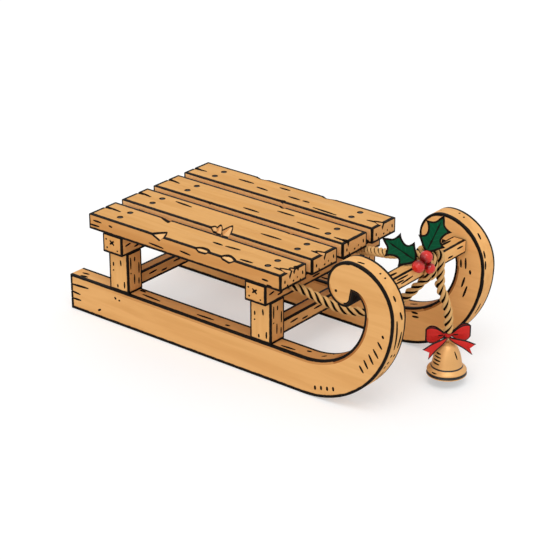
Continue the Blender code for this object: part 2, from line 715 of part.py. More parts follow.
def make_leaf(name, foot, direction):
    """A folded blade on a short stalk from the core: foot is where the blade starts."""
    stalk = (foot - CORE).normalized()
    along = Vector(direction).normalized()
    up = Vector(LEAF_FACING)
    up = (up - up.project(along)).normalized()
    across = up.cross(along)
    start = CORE + stalk * (CORE_RADIUS + FIT)
    middles = [(start, PETIOLE_HALF_WIDTH)]
    middles += [(foot + along * distance, half) for distance, half in leaf_rows()]
    work = bmesh.new()
    rows = []
    for middle, half in middles:
        lift = up * (half - PETIOLE_HALF_WIDTH) * LEAF_FOLD
        rows.append([work.verts.new(middle + across * half * share + lift * abs(share)) for share in (-1, 0, 1)])
    for before, after in zip(rows, rows[1:]):
        for i in range(2):
            work.faces.new((before[i], after[i], after[i + 1], before[i + 1]))
    piece = link(name, mesh_from(work, name), LEAF)
    wall = piece.modifiers.new("thickness", "SOLIDIFY")
    wall.thickness = LEAF_THICKNESS
    wall.offset = 0.0


for name, (foot, direction) in LEAVES.items():
    make_leaf(name, CORE + Vector(foot), direction)

# Bow: a knot under the rope's end, two loops and two swallow tails, turned to the front right
BOW_PLACE = Matrix.Translation((HANG_X, HANG_Y, BOW_Z)) @ Matrix.Rotation(BOW_TURN, 4, "Z")


def make_bow_knot():
    work = bmesh.new()
    bmesh.ops.create_uvsphere(work, u_segments=12, v_segments=8, radius=BOW_KNOT_RADIUS)
    piece = link("bow_knot", mesh_from(work, "bow_knot"), RIBBON, BOW_PLACE)
    piece.data.shade_smooth()


def make_bow_loop(side, sign):
    """A plump loop that widens from the knot to its rounded end, along local Y."""
    name = "bow_loop_" + side
    stations = [(0.0, 0.26), (0.2, 0.48), (0.45, 0.82), (0.7, 1.0), (0.88, 0.86), (1.0, 0.42)]
    sides = 10
    work = bmesh.new()
    rows = []
    for along, spread in stations:
        reach = sign * (BOW_KNOT_RADIUS + FIT + along * LOOP_LENGTH)
        rise = along * LOOP_LIFT[side]
        row = []
        for i in range(sides):
            turn = math.tau * i / sides
            row.append(work.verts.new((LOOP_HALF_DEPTH * spread * math.cos(turn), reach,
                                       rise + LOOP_HALF_HEIGHT * spread * math.sin(turn))))
        rows.append(row)
    for before, after in zip(rows, rows[1:]):
        for i in range(sides):
            work.faces.new((before[i - 1], before[i], after[i], after[i - 1]))
    work.faces.new(rows[0])
    work.faces.new(rows[-1])
    smooth(link(name, mesh_from(work, name), RIBBON, BOW_PLACE))


def make_bow_tail(side, sign):
    """A flat ribbon end that springs forwards off the knot, then falls outwards to a notched tip."""
    name = "bow_tail_" + side
    forward, sideways, down = TAIL_REACH[side]
    across = Vector((0, sign * down, sideways)).normalized()
    foot = Vector((BOW_KNOT_RADIUS * 0.80, sign * BOW_KNOT_RADIUS * 0.45, -BOW_KNOT_RADIUS * 0.75))
    stations = [(0.0, 0.0, 0.22), (0.2, 0.45, 0.42), (0.4, 0.70, 0.60), (0.7, 0.88, 0.82), (1.0, 1.0, 1.0)]
    work = bmesh.new()
    rows = []
    for reach, ahead, half in stations:
        middle = foot + Vector((forward * ahead, sign * sideways * reach, -down * reach))
        notch = Vector((0, sign * sideways, -down)) * TAIL_NOTCH if reach == 1.0 else Vector()
        spread = across * TAIL_HALF_WIDTH * half
        rows.append([work.verts.new(spot) for spot in (middle - spread, middle - notch, middle + spread)])
    for before, after in zip(rows, rows[1:]):
        for i in range(2):
            work.faces.new((before[i], after[i], after[i + 1], before[i + 1]))
    piece = link(name, mesh_from(work, name), RIBBON, BOW_PLACE)
    wall = piece.modifiers.new("thickness", "SOLIDIFY")
    wall.thickness = RIBBON_THICKNESS
    wall.offset = 0.0


make_bow_knot()
for side, sign in SIDES.items():
    make_bow_loop(side, sign)
    make_bow_tail(side, sign)


# Bell tie: a wire staple under the bow's knot that the bell's ring swings on
RING_Z = -(RING_RADIUS - 2 * WIRE_RADIUS - RING_CLEARANCE)
PIVOT_Z = BOW_Z - BOW_KNOT_RADIUS - KNOT_CLEARANCE - (RING_Z + RING_RADIUS + WIRE_RADIUS)
STAPLE_HALF = 0.0045


def make_staple():
    inner_edge = STAPLE_HALF - WIRE_RADIUS
    ceiling = BOW_Z - math.sqrt(BOW_KNOT_RADIUS ** 2 - inner_edge ** 2) - FIT
    local = [(-STAPLE_HALF, ceiling), (-STAPLE_HALF, PIVOT_Z + STAPLE_HALF * 0.3),
             (-STAPLE_HALF * 0.6, PIVOT_Z), (STAPLE_HALF * 0.6, PIVOT_Z),
             (STAPLE_HALF, PIVOT_Z + STAPLE_HALF * 0.3), (STAPLE_HALF, ceiling)]
    turn = Matrix.Rotation(BOW_TURN, 3, "Z")
    points = [turn @ Vector((forward, 0, 0)) + Vector((HANG_X, HANG_Y, z)) for forward, z in local]
    tube("bell_staple", points, WIRE_RADIUS, BRASS, 2)


make_staple()

# Bell: a flared shell, an eye bolt through its crown, and a clapper inside
BELL_PIVOT = bpy.data.objects.new("bell_pivot", None)
BELL_PIVOT.matrix_world = Matrix.Translation((HANG_X, HANG_Y, PIVOT_Z)) @ Matrix.Rotation(BOW_TURN, 4, "Z")
bpy.context.collection.objects.link(BELL_PIVOT)

CROWN_Z = RING_Z - RING_RADIUS - WIRE_RADIUS - FIT
LIP_Z = CROWN_Z - BELL_HEIGHT
BOLT_RADIUS = WIRE_RADIUS * 1.3


def bell_profile():
    """Closed outline of the wall: outside from crown to lip, then inside back up."""
    shares = [(0.14, 0.0), (0.32, 0.04), (0.47, 0.14), (0.59, 0.28), (0.68, 0.46), (0.735, 0.64),
              (0.80, 0.76), (0.98, 0.845), (0.98, 0.89), (0.93, 0.92), (1.0, 0.97), (1.0, 1.0)]
    outer = [(radius * BELL_MOUTH_RADIUS, CROWN_Z - drop * BELL_HEIGHT) for radius, drop in shares]
    inner = [(radius - BELL_WALL, height) for radius, height in outer[2:-1]]
    inner = inner[:-1] + [(outer[-1][0] - BELL_WALL, LIP_Z)]
    bore = BOLT_RADIUS + BORE_CLEARANCE
    roof = CROWN_Z - BELL_WALL
    return [(bore, CROWN_Z)] + outer + inner[::-1] + [(outer[1][0] - BELL_WALL * 0.4, roof - 0.001), (bore, roof)]


def make_bell():
    place = BELL_PIVOT.matrix_world
    shell = link("bell_shell", mesh_from(turned(bell_profile(), 24), "bell_shell"), BRASS)
    shell.parent = BELL_PIVOT
    smooth(shell)
    under = CROWN_Z - BELL_WALL
    eye_z = under - CLAPPER_DROP * 0.35
    bolt = [(0, CROWN_Z + WIRE_RADIUS * 1.5), (BOLT_RADIUS, CROWN_Z + WIRE_RADIUS * 1.5), (BOLT_RADIUS, under - FIT),
            (COLLAR_RADIUS, under - FIT), (COLLAR_RADIUS, under - FIT - WIRE_RADIUS),
            (BOLT_RADIUS, under - FIT - WIRE_RADIUS), (BOLT_RADIUS, eye_z + EYE_HOLE), (0, eye_z + EYE_HOLE)]
    eye = link("bell_eye_bolt", mesh_from(turned(bolt, 12), "bell_eye_bolt"), BRASS)
    eye.parent = BELL_PIVOT
    rings = bmesh.new()
    add_ring(rings, (0, 0, RING_Z), RING_RADIUS, WIRE_RADIUS, (1, 0, 0))
    combine(eye, cutter("bell_ring_blank", rings, place), "UNION")
    hook = bmesh.new()
    add_ring(hook, (0, 0, eye_z), EYE_RING, WIRE_RADIUS, (0, 1, 0))
    combine(eye, cutter("clapper_eye_blank", hook, place), "UNION")
    smooth(eye)
    return eye_z - EYE_RING


EYE_RING = 0.0032
EYE_HOLE = EYE_RING - WIRE_RADIUS * 0.5
CLAPPER_Z = make_bell()

CLAPPER_PIVOT = bpy.data.objects.new("clapper_pivot", None)
CLAPPER_PIVOT.matrix_world = BELL_PIVOT.matrix_world @ Matrix.Translation((0, 0, CLAPPER_Z))
bpy.context.collection.objects.link(CLAPPER_PIVOT)


def make_clapper():
    place = CLAPPER_PIVOT.matrix_world
    ring_z = -(EYE_RING - 2 * WIRE_RADIUS - RING_CLEARANCE)
    rod_top = ring_z - EYE_RING
    centre = LIP_Z - BALL_BELOW_LIP - CLAPPER_Z
    radius = CLAPPER_BALL_RADIUS
    start = math.asin(CLAPPER_ROD_RADIUS / radius)
    curve = [start + (math.pi - start) * i / 7 for i in range(8)]
    ball_line = [(radius * math.sin(turn), centre + radius * math.cos(turn)) for turn in curve[:-1]]
    profile = [(0, rod_top), (CLAPPER_ROD_RADIUS, rod_top)] + ball_line + [(0, centre - radius)]
    clapper = link("bell_clapper", mesh_from(turned(profile, 16), "bell_clapper"), BRASS)
    clapper.parent = CLAPPER_PIVOT
    ring = bmesh.new()
    add_ring(ring, (0, 0, ring_z), EYE_RING, WIRE_RADIUS, (1, 0, 0))
    combine(clapper, cutter("clapper_ring_blank", ring, place), "UNION")
    smooth(clapper)


make_clapper()
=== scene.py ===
"""A wooden sled with a plank seat and curled board runners, a laid pull rope, holly, a bow and a bell."""
import math

import bmesh
import bpy
from mathutils import Matrix, Vector


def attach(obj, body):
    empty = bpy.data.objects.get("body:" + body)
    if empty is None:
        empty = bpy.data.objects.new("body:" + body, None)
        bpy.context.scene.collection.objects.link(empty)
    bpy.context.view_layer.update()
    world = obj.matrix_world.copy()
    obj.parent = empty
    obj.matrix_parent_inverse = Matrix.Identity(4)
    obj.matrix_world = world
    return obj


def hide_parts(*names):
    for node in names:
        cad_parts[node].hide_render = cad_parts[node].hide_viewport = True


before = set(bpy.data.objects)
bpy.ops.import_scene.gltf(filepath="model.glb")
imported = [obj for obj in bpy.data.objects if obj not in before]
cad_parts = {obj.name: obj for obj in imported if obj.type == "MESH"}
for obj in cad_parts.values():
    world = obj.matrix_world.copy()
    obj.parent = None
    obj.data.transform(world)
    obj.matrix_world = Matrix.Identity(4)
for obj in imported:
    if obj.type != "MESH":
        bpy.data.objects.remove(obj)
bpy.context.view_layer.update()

# The studio: a white floor under soft, even light with a gentle key from above.
# The viewpoint is ahead and to the right of the sled, looking down on its seat.


def feed(tree, node, sockets):
    """Give each named socket of a node its value or its link."""
    for name, value in sockets.items():
        socket = node.inputs[name]
        if isinstance(value, bpy.types.NodeSocket):
            tree.links.new(value, socket)
        else:
            socket.default_value = value


def add(tree, kind, sockets=None, **settings):
    """A new node with its settings, its sockets fed."""
    node = tree.nodes.new(kind)
    for name, value in settings.items():
        setattr(node, name, value)
    feed(tree, node, sockets or {})
    return node


def reckon(tree, operation, *values):
    """The result of a sum on up to three numbers."""
    return add(tree, "ShaderNodeMath", dict(enumerate(values)), operation=operation).outputs[0]


def mixed(tree, share, first, second, **settings):
    """A colour part of the way from the first to the second."""
    return add(tree, "ShaderNodeMix", {"Factor": share, "A": first, "B": second}, data_type="RGBA",
               **settings).outputs["Result"]


def new_material(name):
    """A material, its node tree and its shader."""
    material = bpy.data.materials.new(name)
    material.use_nodes = True
    return material, material.node_tree, material.node_tree.nodes["Principled BSDF"]


scene = bpy.context.scene
scene.view_settings.view_transform = "Standard"

camera = bpy.data.cameras.new("viewpoint")
camera.lens = 125.5
camera.sensor_width = 36
camera.clip_end = 50
viewpoint = bpy.data.objects.new("viewpoint", camera)
viewpoint.location = (2.2615, -2.8132, 1.7646)
viewpoint.rotation_euler = (1.14346, 0, 0.67425)
scene.collection.objects.link(viewpoint)
scene.camera = viewpoint

sky = bpy.data.worlds.new("studio_sky")
sky.use_nodes = True
sky.node_tree.nodes.clear()
seen = add(sky.node_tree, "ShaderNodeLightPath")
shown = reckon(sky.node_tree, "MAXIMUM", seen.outputs["Is Camera Ray"], seen.outputs["Is Glossy Ray"])
plain = add(sky.node_tree, "ShaderNodeBackground", {"Color": (1, 1, 1, 1), "Strength": 0.72})
bright = add(sky.node_tree, "ShaderNodeBackground", {"Color": (1, 1, 1, 1), "Strength": 1.0})
both = add(sky.node_tree, "ShaderNodeMixShader", {0: shown, 1: plain.outputs[0], 2: bright.outputs[0]})
add(sky.node_tree, "ShaderNodeOutputWorld", {"Surface": both.outputs[0]})
scene.world = sky

for name, strength, spread, turn in (("key_light", 0.95, 30, (0.42, 0.18, 0.35)),
                                     ("side_light", 0.55, 50, (1.15, 0, 0.10))):
    lamp = bpy.data.lights.new(name, "SUN")
    lamp.energy = strength
    lamp.angle = math.radians(spread)
    holder = bpy.data.objects.new(name, lamp)
    holder.rotation_euler = turn
    scene.collection.objects.link(holder)

FLOOR_HALF = 9
FLOOR_HEIGHT = -0.0005
floor_paint, tree, shader = new_material("studio_floor")
seen = add(tree, "ShaderNodeLightPath").outputs["Is Camera Ray"]
feed(tree, shader, {"Base Color": mixed(tree, seen, (0.75, 0.75, 0.75, 1), (0.60, 0.60, 0.60, 1)),
                    "Emission Color": (1, 1, 1, 1), "Emission Strength": reckon(tree, "MULTIPLY", seen, 0.42),
                    "Roughness": 1.0, "Specular IOR Level": 0.0})
floor_mesh = bpy.data.meshes.new("studio_floor")
floor_mesh.from_pydata([(x * FLOOR_HALF, y * FLOOR_HALF, FLOOR_HEIGHT)
                        for x, y in ((-1, -1), (1, -1), (1, 1), (-1, 1))], [], [(0, 1, 2, 3)])
floor_mesh.materials.append(floor_paint)
floor = bpy.data.objects.new("studio_floor", floor_mesh)
scene.collection.objects.link(floor)

# The pull rope: three-strand laid natural fibre, 15 mm thick, from a hole in the front bearer on each
# side to the crossbar, which it goes round one and a half times. A tail of it hangs from the crossbar.
ROPE_THICK = 0.015
ROPE_LAY = 0.052
# how far the strands' crests reach from the rope's middle, as a share of its thickness: pulled flat
# within this reach of the crossbar's middle, and full when it has hung free over this way
TIGHT_STRANDS = 0.58
FREE_STRANDS = 0.66
HELD_REACH = 0.027
SWELL_WAY = 0.020
# the step between the points of a rope's line, and the gap left between parts that touch
LINE_STEP = 0.0025
FIT_GAP = 0.0003
# the near-black of scorched edges and outlines, and of painted shade in grooves, hollows and creases
INK = (0.0050, 0.0032, 0.0018, 1)


def smooth_line(stops):
    """Points about a step apart on a smooth curve through the stops."""
    stops = [Vector(stop) for stop in stops]
    ends = [2 * stops[0] - stops[1]] + stops + [2 * stops[-1] - stops[-2]]
    points = [stops[0]]
    for a, b, c, d in zip(ends, ends[1:], ends[2:], ends[3:]):
        count = max(1, round((c - b).length / LINE_STEP))
        for i in range(1, count + 1):
            t = i / count
            points.append(0.5 * (2 * b + (c - a) * t + (2 * a - 5 * b + 4 * c - d) * t ** 2
                                 + (3 * b - a - 3 * c + d) * t ** 3))
    return points


def strand_outline(steps):
    """Radius of three round strands laid together, round one turn, as a share of the rope's radius."""
    strand = 0.464
    middle = 0.536
    radii = []
    for i in range(3 * steps):
        turn = (i % steps + 0.5) / steps * math.tau / 3 - math.pi / 3
        bulge = math.sqrt(max(0.0, strand ** 2 - (middle * math.sin(turn)) ** 2))
        radii.append(middle * math.cos(turn) + bulge)
    return radii


def rope_rings(points, thick, lay, full, steps=12):
    """Rings of three laid strands along the points: each ring's corners and the length of rope before it.

    The strands' crests reach full times the rope's thickness from its middle, at each point.
    """
    radii = strand_outline(steps)
    rings = []
    run = 0.0
    lean = Vector((0, 0, 1))
    for i, point in enumerate(points):
        ahead = points[min(i + 1, len(points) - 1)] - points[max(i - 1, 0)]
        ahead.normalize()
        lean = (lean - ahead * lean.dot(ahead)).normalized()
        beside = ahead.cross(lean)
        if i:
            run += (point - points[i - 1]).length
        ring = []
        for j, radius in enumerate(radii):
            turn = math.tau * (j / len(radii) + run / lay)
            ring.append(point + (lean * math.cos(turn) + beside * math.sin(turn)) * radius * thick * full[i])
        rings.append((ring, run))
    return rings


def new_piece(name, work, *materials):
    """A worked mesh as an object of the scene."""
    mesh = bpy.data.meshes.new(name)
    work.to_mesh(mesh)
    work.free()
    for material in materials:
        mesh.materials.append(material)
    piece = bpy.data.objects.new(name, mesh)
    scene.collection.objects.link(piece)
    return piece


def rope_piece(name, rings, steps=12):
    """A closed length of rope through the rings, mapped round (in strands) and along (in 20 mm)."""
    rope = bmesh.new()
    uv = rope.loops.layers.uv.new("lay")
    rows = [([rope.verts.new(corner) for corner in ring], run) for ring, run in rings]
    around = len(rows[0][0])
    for (before, low), (after, high) in zip(rows, rows[1:]):
        for j in range(around):
            k = (j + 1) % around
            face = rope.faces.new((before[j], before[k], after[k], after[j]))
            for loop, run_at, spot in zip(face.loops, (low, low, high, high), (j, j + 1, j + 1, j)):
                loop[uv].uv = (spot / steps, run_at * 50)
            face.smooth = True
    rope.faces.new(rows[0][0][::-1])
    rope.faces.new(rows[-1][0])
    bmesh.ops.recalc_face_normals(rope, faces=rope.faces)
    return new_piece(name, rope, rope_fibre)


def read_uv(tree, layer):
    """A piece's own map, whole and split."""
    uv = add(tree, "ShaderNodeUVMap", uv_map=layer).outputs["UV"]
    return uv, add(tree, "ShaderNodeSeparateXYZ", {0: uv}).outputs


def ramp(tree, value, low, high, first=0.0, last=1.0):
    """A number from first to last while the value goes from low to high."""
    return add(tree, "ShaderNodeMapRange", {"Value": value, "From Min": low, "From Max": high,
                                            "To Min": first, "To Max": last}).outputs[0]


def noise(tree, scale, detail, **sockets):
    """A cloudy number between 0 and 1, finer with a larger scale."""
    sockets.update({"Scale": scale, "Detail": detail})
    return add(tree, "ShaderNodeTexNoise", sockets).outputs["Fac"]


def raised(tree, height, strength, distance):
    """A normal that shows a height as relief, up to a distance in metres."""
    return add(tree, "ShaderNodeBump", {"Height": height, "Strength": strength,
                                        "Distance": distance}).outputs["Normal"]


def make_rope_fibre():
    """Tan fibre with twisted yarns in each strand, and painted shade in near-black along the grooves between
    the strands.
    """
    material, tree, shader = new_material("laid_rope_fibre")
    uv, parts = read_uv(tree, "lay")
    place = reckon(tree, "FRACT", parts["X"])
    off = reckon(tree, "SUBTRACT", place, 0.5)
    gap = reckon(tree, "ABSOLUTE", off)
    edge = reckon(tree, "MULTIPLY_ADD", noise(tree, 3.0, 3.0, Vector=uv), 0.10, gap)
    groove = ramp(tree, edge, 0.335, 0.375)
    stretch = add(tree, "ShaderNodeVectorMath", {0: uv, 1: (5.0, 0.55, 1.0)}, operation="MULTIPLY")
    wave = add(tree, "ShaderNodeTexWave", {"Vector": stretch.outputs[0], "Scale": 1.1, "Distortion": 2.2,
                                           "Detail": 2.0, "Detail Scale": 1.6}, bands_direction="DIAGONAL")
    yarn = wave.outputs["Fac"]
    fibre = mixed(tree, yarn, (0.62, 0.34, 0.125, 1), (0.80, 0.49, 0.20, 1))
    feed(tree, shader, {"Base Color": mixed(tree, groove, fibre, INK), "Roughness": 0.9,
                        "Specular IOR Level": 0.05, "Normal": raised(tree, yarn, 0.35, 0.0006)})
    return material


rope_fibre = make_rope_fibre()
BEARER_FACE = 0.1273
ROPE_HOLE_SIDE = 0.111
ROPE_HOLE_HIGH = 0.1875
BAR_MIDDLE = Vector((0.3585, 0, 0.254))
BAR_HALF = (0.0155, 0.014)
BAR_ROUND = 0.004
BAR_UNDER = 0.240
BAR_AHEAD = 0.374
# how far the rope's middle keeps from a corner's middle: pressed flat, and more for the 30-degree steps
WRAP_REACH = (BAR_ROUND + ROPE_THICK / 2 * 0.92 + FIT_GAP) / math.cos(math.radians(15))
WRAP_PITCH = 0.0158
HITCH_SIDE = -0.0147
HITCH_TURNS = 1.5


def bar_turn():
    """One turn of rope round the crossbar as 24 offsets in X and Z, from its front bottom corner up."""
    wide = BAR_HALF[0] - BAR_ROUND
    tall = BAR_HALF[1] - BAR_ROUND
    corners = ((1, -1, 0), (1, 1, 90), (-1, 1, 180), (-1, -1, 270))
    turn = []
    for i, (across, up, finish) in enumerate(corners):
        for angle in (finish - 90, finish - 60, finish - 30, finish):
            turn.append((wide * across + WRAP_REACH * math.cos(math.radians(angle)),
                         tall * up + WRAP_REACH * math.sin(math.radians(angle))))
        after = corners[(i + 1) % 4]
        end = (wide * after[0] + WRAP_REACH * math.cos(math.radians(finish)),
               tall * after[1] + WRAP_REACH * math.sin(math.radians(finish)))
        start = turn[-1]
        for share in (1 / 3, 2 / 3):
            turn.append((start[0] + (end[0] - start[0]) * share, start[1] + (end[1] - start[1]) * share))
    return turn


turn_round_bar = bar_turn()
per_turn = len(turn_round_bar)
hitch = []
for i in range(1, round(HITCH_TURNS * per_turn) + 2):
    x, z = turn_round_bar[i % per_turn]
    hitch.append(BAR_MIDDLE + Vector((x, HITCH_SIDE + WRAP_PITCH * (i - 1) / per_turn, z)))
# the ways on which the rope comes up to the crossbar and leaves it again, straight for these lengths
rise = Vector((0.62, 0.25, 0.74)).normalized()
fall = Vector((-0.90, 0.25, -0.40)).normalized()
LEADS = (0.024, 0.012)
hitch = ([hitch[0] - rise * lead for lead in LEADS] + hitch
         + [hitch[-1] + fall * lead for lead in LEADS[::-1]])

start = Vector((BEARER_FACE, -ROPE_HOLE_SIDE, ROPE_HOLE_HIGH))
end = hitch[0] - rise * FIT_GAP
sag = ((0.010, 0, 0), (0.036, 0.016, -0.015), (0.054, 0.025, -0.025), (0.072, 0.034, -0.034),
       (0.090, 0.042, -0.041), (0.110, 0.051, -0.044), (0.135, 0.061, -0.042), (0.163, 0.070, -0.032),
       (0.191, 0.077, -0.016))
right_line = smooth_line([start] + [start + Vector(step) for step in sag] + [end - rise * 0.026, end])

start = Vector((BEARER_FACE, ROPE_HOLE_SIDE, ROPE_HOLE_HIGH))
end = hitch[-1] + fall * FIT_GAP
left_line = smooth_line([end, end + fall * 0.022, start.lerp(end, 0.65) - Vector((0, 0, 0.006)),
                         start.lerp(end, 0.35) - Vector((0, 0, 0.004)), start + Vector((0.010, 0, 0)), start])

# the tail goes once round the crossbar beside the hitch, and hangs down in front of it to the bow
TAIL_SIDE = hitch[-3].y + 0.020
TAIL_AHEAD = BAR_AHEAD + WRAP_REACH - BAR_ROUND
TAIL_LEAVES = BAR_UNDER - ROPE_THICK * 1.5
TAIL_HANG = ((0, 0), (0, 0.10), (0.45, 0.32), (0.86, 0.58))
BOW_SPOT = (0.395, 0.0434)
start = Vector((TAIL_AHEAD, TAIL_SIDE, TAIL_LEAVES - FIT_GAP))
end = Vector((*BOW_SPOT, 0.108))
lean = Vector((end.x - start.x, end.y - start.y, 0))
drop = end.z - start.z
tail_line = smooth_line([start + lean * share + Vector((0, 0, drop * down)) for share, down in TAIL_HANG]
                        + [end - Vector((0, 0, drop * 0.20)), end])

tail_turn = [Vector((TAIL_AHEAD - ROPE_THICK / 2 - FIT_GAP, TAIL_SIDE, BAR_UNDER - WRAP_REACH + BAR_ROUND))]
tail_turn += [BAR_MIDDLE + Vector((x, TAIL_SIDE, z)) for x, z in turn_round_bar[:3:-1]]
tail_turn += [Vector((TAIL_AHEAD, TAIL_SIDE, BAR_UNDER)), Vector((TAIL_AHEAD, TAIL_SIDE, TAIL_LEAVES))]
tail_turn = smooth_line(tail_turn)


def strands_full(point):
    """How far the strands bulge at a point of the rope."""
    free = math.hypot(point.x - BAR_MIDDLE.x, point.z - BAR_MIDDLE.z) - HELD_REACH
    return TIGHT_STRANDS + (FREE_STRANDS - TIGHT_STRANDS) * min(1.0, max(0.0, free / SWELL_WAY))


# each rope is laid in one go, so that its strands run on from piece to piece; the number says which
# end of a free length's line is at the bearer
hitch_line = smooth_line(hitch)
for lengths in ((("pull_rope_right", right_line, "rope_right", 0),
                 ("rope_turns_on_crossbar", hitch_line, "rope_hitch", None),
                 ("pull_rope_left", left_line, "rope_left", -1)),
                (("bell_rope_turn", tail_turn, "rope_tail_turn", None),
                 ("bell_rope", tail_line, "rope_tail", None))):
    points = [point for name, line, node, exit_end in lengths for point in line]
    rings = rope_rings(points, ROPE_THICK, ROPE_LAY, [strands_full(point) for point in points])
    first = 0
    for name, line, node, exit_end in lengths:
        # each piece ends on the next one's first ring, so that no crack shows between them
        stretch = rope_piece(name, rings[first:first + len(line) + 1])
        first += len(line)
        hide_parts(node)
        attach(stretch, "sled")

# Runners: each one thick board, sawn to a scroll at the front, its edges scorched dark with an iron.
# Drying checks are cut at the tail and along the curl, where the grain runs out.
RUNNER_SIDES = {"right": (-0.171, -0.129), "left": (0.129, 0.171)}
RUNNER_TOP = 0.078
REAR = -0.414
# the curl's rim turns about the nose's middle and then about the crest's; its throat is an ellipse
# about the nose's middle, this long and tall
NOSE = 0.208
NOSE_X = 0.206
CREST_X = 0.316
CREST_ROUND = 0.098
THROAT = (0.144, 0.130)


def arc(middle_x, middle_z, wide, tall, start, finish, steps):
    return [(middle_x + wide * math.cos(math.radians(start + (finish - start) * i / steps)),
             middle_z + tall * math.sin(math.radians(start + (finish - start) * i / steps)))
            for i in range(steps + 1)]


def scroll_line():
    """The board's outline in X and Z, with its shade and how wide its arris is scorched on the faces.

    The painted shade is 0 outside the curl, 1 in its throat, more in the notch, and a half along the top
    between the posts."""
    line = [(x, 0.0, 0.0, 1.35) for x in (REAR, -0.30, -0.15, 0.0, 0.12)]
    line += [(x, z, 0.0, max(0.85, 1.35 - 0.008 * i))
             for i, (x, z) in enumerate(arc(NOSE_X, NOSE, NOSE, NOSE, -90, 0, 80))]
    line += [(x, z, 0.0, 0.85) for x, z in arc(CREST_X, NOSE, CREST_ROUND, CREST_ROUND, 0, 90, 44)[1:]]
    line += [(x, z, 0.0, 1.1) for x, z in arc(CREST_X, 0.252, 0.054, 0.054, 90, 180, 26)[1:]]
    line += [(x, z, 0.4, 1.1) for x, z in arc(0.300, 0.252, 0.038, 0.040, 180, 270, 20)[1:]]
    line += [(x, z, 1.7, 1.0) for x, z in arc(0.300, 0.234, 0.022, 0.022, 270, 360, 14)[1:]]
    line += [(x, z, 1.9 - 0.08 * i, 1.0)
             for i, (x, z) in enumerate(arc(0.324, NOSE, 0.026, 0.036, 90, 0, 20))]
    line += [(x, z, 1.0, 1.0) for x, z in arc(NOSE_X, NOSE, *THROAT, 0, -60, 40)[1:]]
    line += [(x, z, 0.6, 0.8) for x, z in arc(NOSE_X, NOSE, *THROAT, -60, -90, 20)[1:]]
    # painted shadow: the top is darker between the posts, under the seat, and lighter behind the rear post
    line += [(x, RUNNER_TOP, 0.5, 0.7) for x in (0.12, 0.0, -0.15, -0.25)]
    line += [(x, RUNNER_TOP, shade, spread)
             for x, shade, spread in ((-0.30, 0.15, 0.7), (REAR + 0.02, 0.05, 0.8), (REAR, 0.05, 1.2))]
    return line


def inset_line(line, depth):
    """The outline moved into the board by a depth."""
    moved = []
    for i, (x, z, *rest) in enumerate(line):
        before = line[i - 1]
        after = line[(i + 1) % len(line)]
        first = Vector((x - before[0], z - before[1])).normalized()
        second = Vector((after[0] - x, after[1] - z)).normalized()
        inward = Vector((-first.y - second.y, first.x + second.x)).normalized()
        stretch = min(1.6, 1 / max(0.3, inward.dot(Vector((-first.y, first.x)))))
        moved.append((x + inward.x * depth * stretch, z + inward.y * depth * stretch, *rest))
    return moved


def scroll_board(name, low, high):
    """A board of the scroll's outline between two Y planes, with eased arrises."""
    line = scroll_line()
    rings = []
    for depth, inset, distance in ((0, 0.009, 0.9), (0, 0.0011, 0.09), (0.0003, 0.0003, 0.0),
                                   (0.0011, 0, 0.09), (0.009, 0, 0.9)):
        # on the faces a wider scorch is a shorter way from the edge
        ways = [distance / spread if inset else distance for x, z, shade, spread in line]
        rings.append((low + depth, inset_line(line, inset), ways))
    rings += [(high + low - y, outline, ways) for y, outline, ways in rings[::-1]]
    work = bmesh.new()
    uv = work.loops.layers.uv.new("arris")
    rows = [[work.verts.new((x, y, z)) for x, z, shade, spread in outline] for y, outline, ways in rings]
    count = len(line)
    for r in range(len(rows) - 1):
        for i in range(count):
            k = (i + 1) % count
            face = work.faces.new((rows[r][i], rows[r][k], rows[r + 1][k], rows[r + 1][i]))
            marks = ((rings[r][2][i], line[i][2]), (rings[r][2][k], line[k][2]),
                     (rings[r + 1][2][k], line[k][2]), (rings[r + 1][2][i], line[i][2]))
            for loop, mark in zip(face.loops, marks):
                loop[uv].uv = mark
    for row in (rows[0][::-1], rows[-1]):
        cap = work.faces.new(row)
        for loop in cap.loops:
            loop[uv].uv = (0.9, 0.0)
    bmesh.ops.recalc_face_normals(work, faces=work.faces)
    return new_piece(name, work)


def new_group(name, given, made):
    """A node group with named inputs, each of a kind and with a value, and named numbers that it makes."""
    group = bpy.data.node_groups.new(name, "ShaderNodeTree")
    for label, kind, value in given:
        socket = group.interface.new_socket(label, in_out="INPUT", socket_type="NodeSocket" + kind)
        socket.default_value = value
    for label in made:
        group.interface.new_socket(label, in_out="OUTPUT", socket_type="NodeSocketFloat")
    return group, add(group, "NodeGroupInput").outputs


def make_grain():
    """Streaks along the board as a tone and a height; Stretch is the fineness along X, Y and Z."""
    group, given = new_group("wood_grain", (("Stretch", "Vector", (4, 60, 60)), ("Seed", "Float", 0.0)),
                             ("Tone", "Height"))
    place = add(group, "ShaderNodeTexCoord").outputs["Object"]
    spread = add(group, "ShaderNodeVectorMath", {0: place, 1: given["Stretch"]}, operation="MULTIPLY")
    sown = {"Vector": spread.outputs[0], "W": given["Seed"]}
    broad = add(group, "ShaderNodeTexNoise", {**sown, "Scale": 1.0, "Detail": 4.0, "Distortion": 0.6},
                noise_dimensions="4D")
    fine = add(group, "ShaderNodeTexNoise", {**sown, "Scale": 5.0, "Detail": 3.0}, noise_dimensions="4D")
    rings = reckon(group, "SINE", reckon(group, "MULTIPLY", broad.outputs["Fac"], 14.0))
    tone = reckon(group, "MULTIPLY_ADD", rings, 0.28, 0.5)
    height = reckon(group, "MULTIPLY_ADD", fine.outputs["Fac"], 0.5, tone)
    add(group, "NodeGroupOutput", {"Tone": reckon(group, "SUBTRACT", height, 0.25), "Height": height})
    return group


